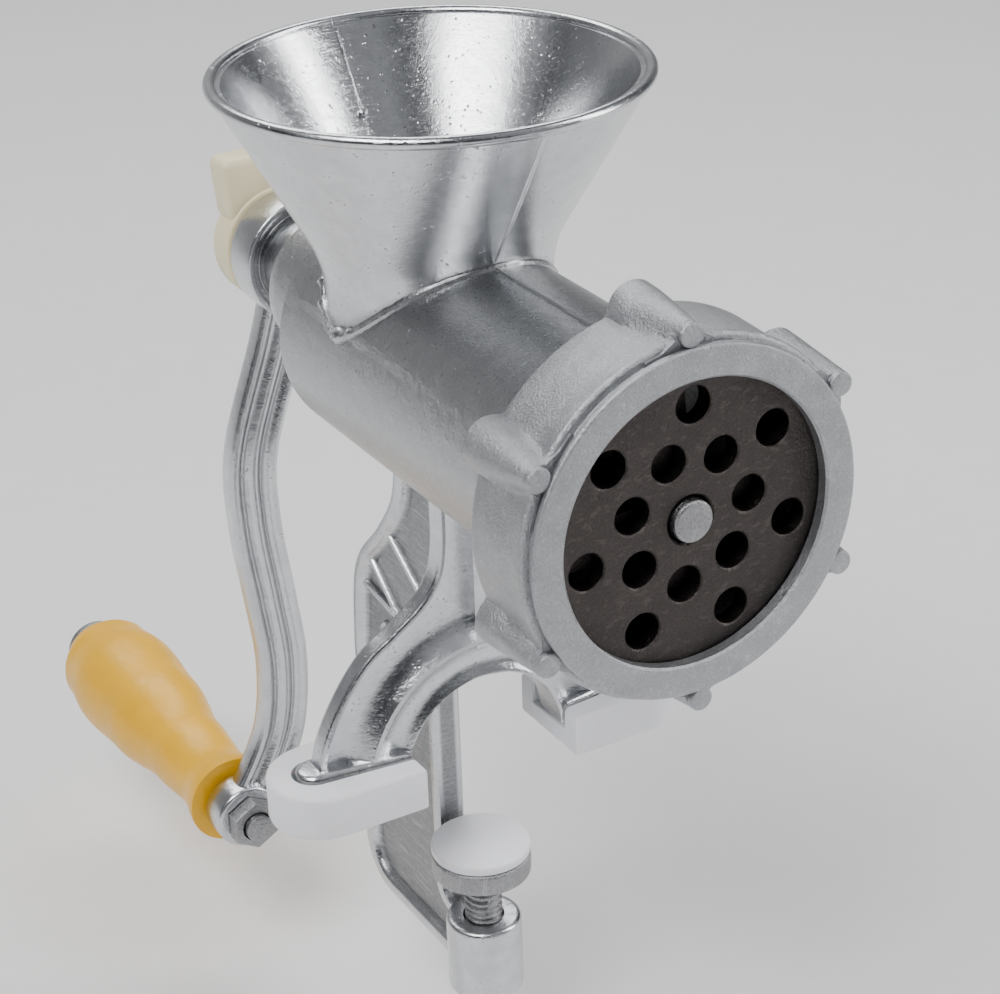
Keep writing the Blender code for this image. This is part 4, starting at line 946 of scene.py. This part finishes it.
class GRINDER_OT_auger(bpy.types.Operator):
    """Make the auger with its flight, shaft, squares and centre pin"""
    bl_idname = "grinder.auger"
    bl_label = "Auger"

    def execute(self, context):
        pitch = context.scene.grinder_sizes.flight_pitch
        core = 9 * MM
        land = radians(60)

        def outline(y):
            turn = (y - KNIFE_BACK) / pitch * tau
            points = []
            for step in range(17):
                share = step / 16
                rise = min(1.0, 2.3 * (1 - abs(2 * share - 1)))
                rise = rise * rise * (3 - 2 * rise)
                radius = core + (AUGER_R - core) * rise
                angle = turn + land * (share - 0.5)
                points.append(Vector((radius * cos(angle), y, HEIGHT + radius * sin(angle))))
            for step in range(23):
                angle = turn + land / 2 + (tau - land) * (step + 1) / 24
                points.append(Vector((core * cos(angle), y, HEIGHT + core * sin(angle))))
            return points

        front, back = SEAT_BACK + 3 * MM, REAR_INSIDE - 2.6 * MM
        body = twisted(outline, front, back, 130)
        shaft = bar(8 * MM, "Y", DRIVE, back - 4 * MM, HUB_FRONT - 0.3 * MM, 0.6 * MM)
        nose = bar(core, "Y", DRIVE, KNIFE_BACK + 0.3 * MM, front + 4 * MM, 0.6 * MM)
        half = 5.2 * MM
        corners = [(-half, HEIGHT - half), (half, HEIGHT - half), (half, HEIGHT + half), (-half, HEIGHT + half)]
        square = slab(corners, "Y", KNIFE_FRONT, KNIFE_BACK + 4 * MM, 0.3 * MM, 2)
        tang = slab([(1.02 * x, HEIGHT + 1.02 * (z - HEIGHT)) for x, z in corners], "Y", HUB_FRONT - 4 * MM,
                    AUGER_BACK, 0.3 * MM, 2)
        pin = bar(4.8 * MM, "Y", DRIVE, AUGER_FRONT, KNIFE_FRONT + 2 * MM, 0.7 * MM)
        thread = bar(4.5 * MM, "Y", DRIVE, 46.5 * MM, AUGER_BACK + 5 * MM, 0.1 * MM, 32)
        shape = cut(joined(body, shaft, nose, square, tang, pin), thread)
        finished("auger_finish", shape, finish_named("turned_steel"), "drive", ["auger"])
        return {"FINISHED"}


# ---------------------------------------------------------------- crank, wing screw and grip

HUB_FRONT = 66.5 * MM
HUB_BACK = 78 * MM
ARM_FRONT = 70 * MM
WING_LOW = span("wing_screw_head", "y")[0]
GRIP_FRONT, GRIP_BACK = span("handle_grip", "y")


def crank_line():
    """The arm's middle line from hub to grip: a lazy S about the chord, as (x, z)."""
    chord = Vector((GRIP.x, GRIP.z - HEIGHT))
    along = chord.normalized()
    across = Vector((-along.y, along.x))
    points = []
    for share, bow in ((0, 0), (0.15, -2.8), (0.33, -7.4), (0.46, -4.4), (0.60, 2.5), (0.72, 8), (0.84, 9.4),
                       (0.94, 5), (1, 0)):
        points.append(Vector((0, HEIGHT)) + chord * share + across * bow * MM)
    return smooth_path(points, 8)


class GRINDER_OT_crank(bpy.types.Operator):
    """Make the crank arm with its channels, hub and grip boss"""
    bl_idname = "grinder.crank"
    bl_label = "Crank arm"

    def execute(self, context):
        half = [(-7, 1.6), (-6.85, 2.6), (-6.3, 3.3), (-5.5, 3.5), (-4.8, 3.2), (-4.2, 2.5), (-3.7, 1.8),
                (-3.0, 1.5), (-2.2, 1.6), (-1.6, 2.1), (-1.0, 2.8), (-0.4, 3.1)]
        half += [(-a, b) for a, b in reversed(half)]
        arm = swept(crank_line(), both_ways([(a * MM, b * MM) for a, b in half]),
                    in_front_plane((ARM_FRONT + HUB_BACK) / 2))
        hub_profile = [(0, HUB_BACK), (16.7 * MM, HUB_BACK), (16.7 * MM, HUB_FRONT), (15.1 * MM, HUB_FRONT),
                       (14.7 * MM, HUB_FRONT + 0.9 * MM), (13.2 * MM, HUB_FRONT + 0.9 * MM),
                       (13 * MM, HUB_FRONT + 0.5 * MM), (13 * MM, CRANK_FRONT), (0, CRANK_FRONT)]
        hub = turned(softened(hub_profile, 1.0 * MM), "Y", DRIVE, 96)
        boss = turned(softened([(0, CRANK_BACK), (9.5 * MM, CRANK_BACK), (9.5 * MM, ARM_FRONT - 1 * MM),
                                (0, ARM_FRONT - 1 * MM)], 1.2 * MM), "Y", GRIP, 64)
        shaft = bar(8.3 * MM, "Y", DRIVE, CRANK_FRONT - 5 * MM, HUB_FRONT, 0.1 * MM)
        side = 5.6 * MM
        square = slab([(-side, HEIGHT - side), (side, HEIGHT - side), (side, HEIGHT + side),
                       (-side, HEIGHT + side)], "Y", HUB_FRONT - 1 * MM, HUB_BACK + 5 * MM)
        hole = bar(4.3 * MM, "Y", GRIP, ARM_FRONT - 10 * MM, HUB_BACK + 10 * MM, 0.1 * MM)
        shape = cut(joined(arm, hub, boss), shaft, square, hole)
        finished("crank_arm_finish", shape, finish_named("cast_aluminium"), "drive",
                 ["crank_arm"])
        return {"FINISHED"}


def paddle_outline():
    """The wing screw's paddle seen along its axis: it widens to its end, with round corners."""
    corners = [(0, 8), (14.0, 8), (15.5, 25.4), (-15.5, 25.4), (-14.0, 8), (0, 8)]
    points = softened([(x * MM, HEIGHT + z * MM) for x, z in corners], 3 * MM, 6)
    return [(p.x, p.y) for p in points[:-1]]


class GRINDER_OT_wing_screw(bpy.types.Operator):
    """Make the cream wing screw, its threaded stud and its washer"""
    bl_idname = "grinder.wing_screw"
    bl_label = "Wing screw"

    def execute(self, context):
        washer = sleeve(9.5 * MM, 4.3 * MM, "Y", DRIVE, HUB_BACK + 0.3 * MM, HUB_BACK + 2.3 * MM, 0.4 * MM)
        finished("wing_screw_washer_finish", washer, finish_named("turned_steel"), "wing_washer",
                 ["wing_screw_washer"])
        low, high = span("wing_screw_stud", "y")
        stud = threaded(3.4 * MM, 0.6 * MM, 1.5 * MM, "Y", (0, 0, HEIGHT), low, high - 3.6 * MM)
        head = turned(softened([(0, high), (6.5 * MM, high), (6.5 * MM, high - 4 * MM),
                                (0, high - 4 * MM)], 0.6 * MM), "Y", DRIVE, 6)
        finished("wing_screw_stud_finish", side_by_side(stud, head), finish_named("turned_steel"),
                 "wing_screw", ["wing_screw_stud"])
        base = bar(16.4 * MM, "Y", DRIVE, WING_LOW, WING_LOW + 9 * MM, 1.2 * MM, 96)
        wings = slab(paddle_outline(), "Y", WING_LOW + 0.5 * MM, WING_LOW + 10 * MM, 1.8 * MM, 4)
        shape = joined(base, wings)
        socket = turned([(0, high + 0.3 * MM), (6.8 * MM, high + 0.3 * MM), (6.8 * MM, WING_LOW - 5 * MM),
                         (0, WING_LOW - 5 * MM)], "Y", DRIVE, 6)
        finished("wing_screw_head_finish", cut(shape, socket), finish_named("cream_plastic"), "wing_screw",
                 ["wing_screw_head"])
        return {"FINISHED"}


def grip_radius(share):
    """Radius of the grip from its base at the crank, share 0, to its far end, share 1."""
    knots = ((0, 13.0), (0.12, 10.8), (0.3, 12.0), (0.55, 15.5), (0.75, 16.8), (0.9, 15.0), (0.97, 11.3),
             (1, 9.0))
    for (a, low), (b, high) in zip(knots, knots[1:]):
        if share <= b:
            t = (share - a) / (b - a)
            return (low + (high - low) * (1 - cos(pi * t)) / 2) * MM
    return 9 * MM


class GRINDER_OT_grip(bpy.types.Operator):
    """Make the yellow grip with its spindle, end cap and nut"""
    bl_idname = "grinder.grip"
    bl_label = "Grip"

    def execute(self, context):
        hole = 4.4 * MM
        length = GRIP_BACK - GRIP_FRONT
        profile = [(hole, GRIP_BACK)]
        profile += [(grip_radius(1 - k / 72), GRIP_BACK - length * k / 72) for k in range(73)]
        profile += [(hole, GRIP_FRONT)]
        grip = turned(profile, "Y", GRIP, 96, closed=True)
        finished("handle_grip_finish", grip, finish_named("yellow_plastic"), "grip",
                 ["handle_grip"], 40)
        low, high = span("grip_end_cap", "y")
        dome = softened([(0, high), (8.9 * MM, high), (9 * MM, low), (4.6 * MM, low),
                         (4.6 * MM, low + 1.2 * MM), (0, low + 1.2 * MM)], 1.1 * MM)
        finished("grip_end_cap_finish", turned(dome, "Y", GRIP, 64), finish_named("turned_steel"), "drive",
                 ["grip_end_cap"])
        low, high = span("grip_spindle_nut", "y")
        nut = turned(softened([(0, high), (7.5 * MM, high), (7.5 * MM, low), (0, low)], 0.7 * MM), "Y", GRIP, 6)
        nut = cut(nut, bar(4.5 * MM, "Y", GRIP, low - 5 * MM, high + 5 * MM, 0.1 * MM, 32))
        finished("grip_spindle_nut_finish", nut, finish_named("turned_steel"), "drive",
                 ["grip_spindle_nut"])
        low, high = span("grip_spindle", "y")
        rod = bar(4 * MM, "Y", GRIP, low, high, 0.6 * MM)
        collar = bar(6.5 * MM, "Y", GRIP, CRANK_BACK + 0.3 * MM, GRIP_FRONT - 0.3 * MM, 0.3 * MM)
        finished("grip_spindle_finish", joined(rod, collar), finish_named("turned_steel"), "drive",
                 ["grip_spindle"])
        return {"FINISHED"}


# ---------------------------------------------------------------- shoes and clamp

class GRINDER_OT_shoes(bpy.types.Operator):
    """Make the two milky shoes under the feet"""
    bl_idname = "grinder.shoes"
    bl_label = "Shoes"

    def execute(self, context):
        half = (SHOE_BACK - SHOE_FRONT) / 2
        for name, side in (("left_shoe", -1), ("right_shoe", 1)):
            outline = [Vector((SHOE_IN, LEG_Y - half)),
                       *arc((SHOE_OUT - half, LEG_Y), half, -pi / 2, pi / 2, 28),
                       Vector((SHOE_IN, LEG_Y + half))]
            block = slab([(side * p.x, p.y) for p in outline], "Z", SHOE_BOTTOM, SHOE_TOP, 1.2 * MM, 3)
            toe = 5.6 * MM
            pocket = [Vector((SHOE_IN - 4 * MM, LEG_Y - 8.6 * MM)),
                      *arc((FOOT_OUT + 0.6 * MM - toe, LEG_Y), toe + 0.3 * MM, -pi / 2, pi / 2, 16),
                      Vector((SHOE_IN - 4 * MM, LEG_Y + 8.6 * MM))]
            recess = slab([(side * p.x, p.y) for p in pocket], "Z", 5.5 * MM, SHOE_TOP + 5 * MM)
            finished(name + "_finish", cut(block, recess), finish_named("white_plastic"), "root",
                     [name])
        return {"FINISHED"}


class GRINDER_OT_clamp(bpy.types.Operator):
    """Make the clamp's pad, liner, screw, wing handle and cross pin"""
    bl_idname = "grinder.clamp"
    bl_label = "Clamp"

    def execute(self, context):
        low, high = span("clamp_pad", "z")
        well = high - 2.3 * MM
        ring = softened([(5.9 * MM, high), (13 * MM, high), (13 * MM, low), (3.9 * MM, low), (3.9 * MM, well),
                         (5.9 * MM, well)], 0.9 * MM)
        finished("clamp_pad_finish", turned(ring, "Z", SCREW, 72, closed=True), finish_named("turned_steel"),
                 "clamp_pad", ["clamp_pad"])
        liner_low, liner_high = span("clamp_pad_liner", "z")
        liner = bar(13 * MM, "Z", SCREW, liner_low, liner_high, 0.7 * MM, 72)
        finished("clamp_pad_liner_finish", liner, finish_named("white_plastic"), "clamp_pad",
                 ["clamp_pad_liner"])
        screw_low, screw_high = span("clamp_screw", "z")
        pitch = context.scene.grinder_sizes.screw_pitch
        thread = threaded(4.2 * MM, 0.8 * MM, pitch, "Z", (0, SCREW.y, 0), screw_low, low - 0.3 * MM)
        spigot = turned([(0, screw_high), (5.6 * MM, screw_high), (5.6 * MM, screw_high - 2 * MM),
                         (3.5 * MM, screw_high - 2 * MM), (3.5 * MM, low - 2 * MM), (0, low - 2 * MM)], "Z",
                        SCREW, 48)
        pin_low, pin_high = span("clamp_handle_pin", "z")
        pin_z = (pin_low + pin_high) / 2
        finished("clamp_screw_finish", side_by_side(thread, spigot), finish_named("turned_steel"),
                 "clamp_screw", ["clamp_screw"])
        base, top = span("clamp_wing_handle", "z")
        hub = bar(9 * MM, "Z", SCREW, base, top, 1.6 * MM, 64)
        wing = [(-25, 4), (-22, 0.6), (-8, 0), (8, 0), (22, 0.6), (25, 4), (25, 8), (22, 13), (8, 10), (-8, 10),
                (-22, 13), (-25, 8), (-25, 4), (-22, 0.6)]
        wing = softened([(x * MM, base + (1 + z) * MM) for x, z in wing], 2.5 * MM, 5)[1:-1]
        wings = slab([(p.x, p.y) for p in wing], "Y", LEG_Y - 2.75 * MM, LEG_Y + 2.75 * MM, 1.6 * MM, 3)
        socket = bar(5.3 * MM, "Z", SCREW, base + 2.7 * MM, top + 5 * MM, 0.1 * MM)
        cross = bar(1.8 * MM, "Y", (0, 0, pin_z), LEG_Y - 15 * MM, LEG_Y + 15 * MM, 0.1 * MM, 24)
        finished("clamp_wing_handle_finish", cut(joined(hub, wings), socket, cross),
                 finish_named("cast_aluminium"), "clamp_screw", ["clamp_wing_handle"])
        pin_front, pin_back = span("clamp_handle_pin", "y")
        pin = bar(1.5 * MM, "Y", (0, 0, pin_z), pin_front, pin_back, 0.4 * MM, 24)
        finished("clamp_handle_pin_finish", pin, finish_named("turned_steel"), "clamp_screw",
                 ["clamp_handle_pin"])
        return {"FINISHED"}


class GRINDER_OT_kept(bpy.types.Operator):
    """Give the frame's own pieces that stay in view their finishes"""
    bl_idname = "grinder.kept"
    bl_label = "Kept pieces"

    def execute(self, context):
        for node, finish in (("cutter_knife", "plate_steel"), ("plate_key_pin", "turned_steel"),
                             ("rear_bush", "brown_bush"), ("thrust_washer", "white_plastic")):
            piece = frame["nodes"][node]
            piece.data.materials.clear()
            piece.data.materials.append(finish_named(finish))
        return {"FINISHED"}


# ---------------------------------------------------------------- stage

CAMERA_PLACE = Vector((-0.26095, -0.49596, 0.34876))
CAMERA_AZIMUTH = radians(-29.364)
CAMERA_ELEVATION = radians(26.632)
CAMERA_ROLL = radians(-2.023)
CAMERA_LENS = 90.83


def area_light(name, place, target, size, energy, tint=(1, 1, 1)):
    data = bpy.data.lights.new(name, "AREA")
    data.shape = "RECTANGLE"
    data.size, data.size_y = size
    data.energy = energy
    data.color = tint
    light = bpy.data.objects.new(name, data)
    bpy.context.scene.collection.objects.link(light)
    light.location = place
    light.rotation_euler = (Vector(target) - Vector(place)).to_track_quat("-Z", "Y").to_euler()


class GRINDER_OT_studio(bpy.types.Operator):
    """Set up the pale floor, the soft lights and the camera"""
    bl_idname = "grinder.studio"
    bl_label = "Studio"

    def execute(self, context):
        scene = context.scene
        ground = CAD_BOX[0].z - 0.5 * MM
        bm = bmesh.new()
        outline = [(-3.0, ground), (1.2, ground)] + [(1.2 + 1.2 * sin(a), ground + 1.2 - 1.2 * cos(a))
                                                    for a in [pi / 2 * k / 24 for k in range(1, 25)]]
        outline.append((2.4, 4.0))
        verts, edges = chain(bm, [Vector((-4, y, z)) for y, z in outline])
        grown = bmesh.ops.extrude_edge_only(bm, edges=edges)["geom"]
        bmesh.ops.translate(bm, vec=(8, 0, 0), verts=[g for g in grown if isinstance(g, bmesh.types.BMVert)])
        floor = raw_object("studio_floor", bm)
        material, tree, shader, coords = new_material("studio_paper")
        paper = noise_at(tree, coords, 90.0, 3.0)
        tone = blend(tree, paper, (0.80, 0.80, 0.80), (0.84, 0.84, 0.84))
        finish_shader(tree, shader, tone, spread(tree, paper, 0.3, 0.7, 0.75, 0.9),
                      bumps(tree, [(paper, 0.1, 0.5 * MM)]))
        floor.data.materials.append(material)
        floor.data.shade_smooth()
        world = bpy.data.worlds.new("studio_world")
        world.use_nodes = True
        sky = world.node_tree
        rise = add_node(sky, "SeparateXYZ", {0: add_node(sky, "TexCoord").outputs["Generated"]}).outputs
        glow = spread(sky, rise[2], 0.10, 0.95, 0.0, 1.0)
        streak = spread(sky, noise_at(sky, stretched(sky, add_node(sky, "TexCoord").outputs["Generated"],
                                                     (2.2, 2.2, 0.5)), 1.3, 1.0), 0.44, 0.60, 0.0, 1.0)
        tone = blend(sky, glow, (0.012, 0.013, 0.015), (0.10, 0.105, 0.115))
        tone = blend(sky, sums(sky, "MULTIPLY", streak, 0.7), tone, (0.50, 0.51, 0.53))
        sky.links.new(tone, sky.nodes["Background"].inputs[0])
        scene.world = world
        middle = (0, 0, 0.06)
        area_light("key_light", (-0.7, -0.35, 1.2), middle, (0.8, 0.6), 19.0)
        area_light("side_light", (1.1, -0.6, 0.7), middle, (0.2, 1.2), 12.0)
        area_light("back_light", (0.3, 1.1, 1.3), middle, (1.5, 0.5), 16.0)
        back = Vector((sin(CAMERA_AZIMUTH) * cos(CAMERA_ELEVATION), -cos(CAMERA_AZIMUTH) * cos(CAMERA_ELEVATION),
                       sin(CAMERA_ELEVATION)))
        right = Vector((0, 0, 1)).cross(back).normalized()
        upward = back.cross(right)
        turn = Matrix((cos(CAMERA_ROLL) * right + sin(CAMERA_ROLL) * upward,
                       cos(CAMERA_ROLL) * upward - sin(CAMERA_ROLL) * right, back)).transposed()
        data = bpy.data.cameras.new("camera")
        data.lens = CAMERA_LENS
        data.clip_start = 0.01
        camera = bpy.data.objects.new("camera", data)
        scene.collection.objects.link(camera)
        camera.matrix_world = Matrix.Translation(CAMERA_PLACE) @ turn.to_4x4()
        scene.camera = camera
        return {"FINISHED"}


class GRINDER_PT_panel(bpy.types.Panel):
    """Sidebar panel with the settings and a button for each group of pieces"""
    bl_idname = "GRINDER_PT_panel"
    bl_label = "Grinder"
    bl_space_type = "VIEW_3D"
    bl_region_type = "UI"
    bl_category = "Grinder"

    def draw(self, context):
        for group in (context.scene.grinder_sizes, context.scene.grinder_colours):
            box = self.layout.box()
            for name in group.__annotations__:
                box.prop(group, name)
        for step in STEPS:
            self.layout.operator("grinder." + step)


STEPS = ("casting", "ring", "plate", "auger", "crank", "wing_screw", "grip", "shoes", "clamp", "kept", "studio")
CLASSES = (GrinderSizes, GrinderColours, GRINDER_OT_casting, GRINDER_OT_ring, GRINDER_OT_plate,
           GRINDER_OT_auger, GRINDER_OT_crank, GRINDER_OT_wing_screw, GRINDER_OT_grip, GRINDER_OT_shoes,
           GRINDER_OT_clamp, GRINDER_OT_kept, GRINDER_OT_studio, GRINDER_PT_panel)


def register():
    for cls in CLASSES:
        bpy.utils.register_class(cls)
    bpy.types.Scene.grinder_sizes = PointerProperty(type=GrinderSizes)
    bpy.types.Scene.grinder_colours = PointerProperty(type=GrinderColours)


def unregister():
    del bpy.types.Scene.grinder_sizes
    del bpy.types.Scene.grinder_colours
    for cls in reversed(CLASSES):
        bpy.utils.unregister_class(cls)


def main():
    register()
    for step in STEPS:
        getattr(bpy.ops.grinder, step)()


if __name__ == "__main__":
    main()
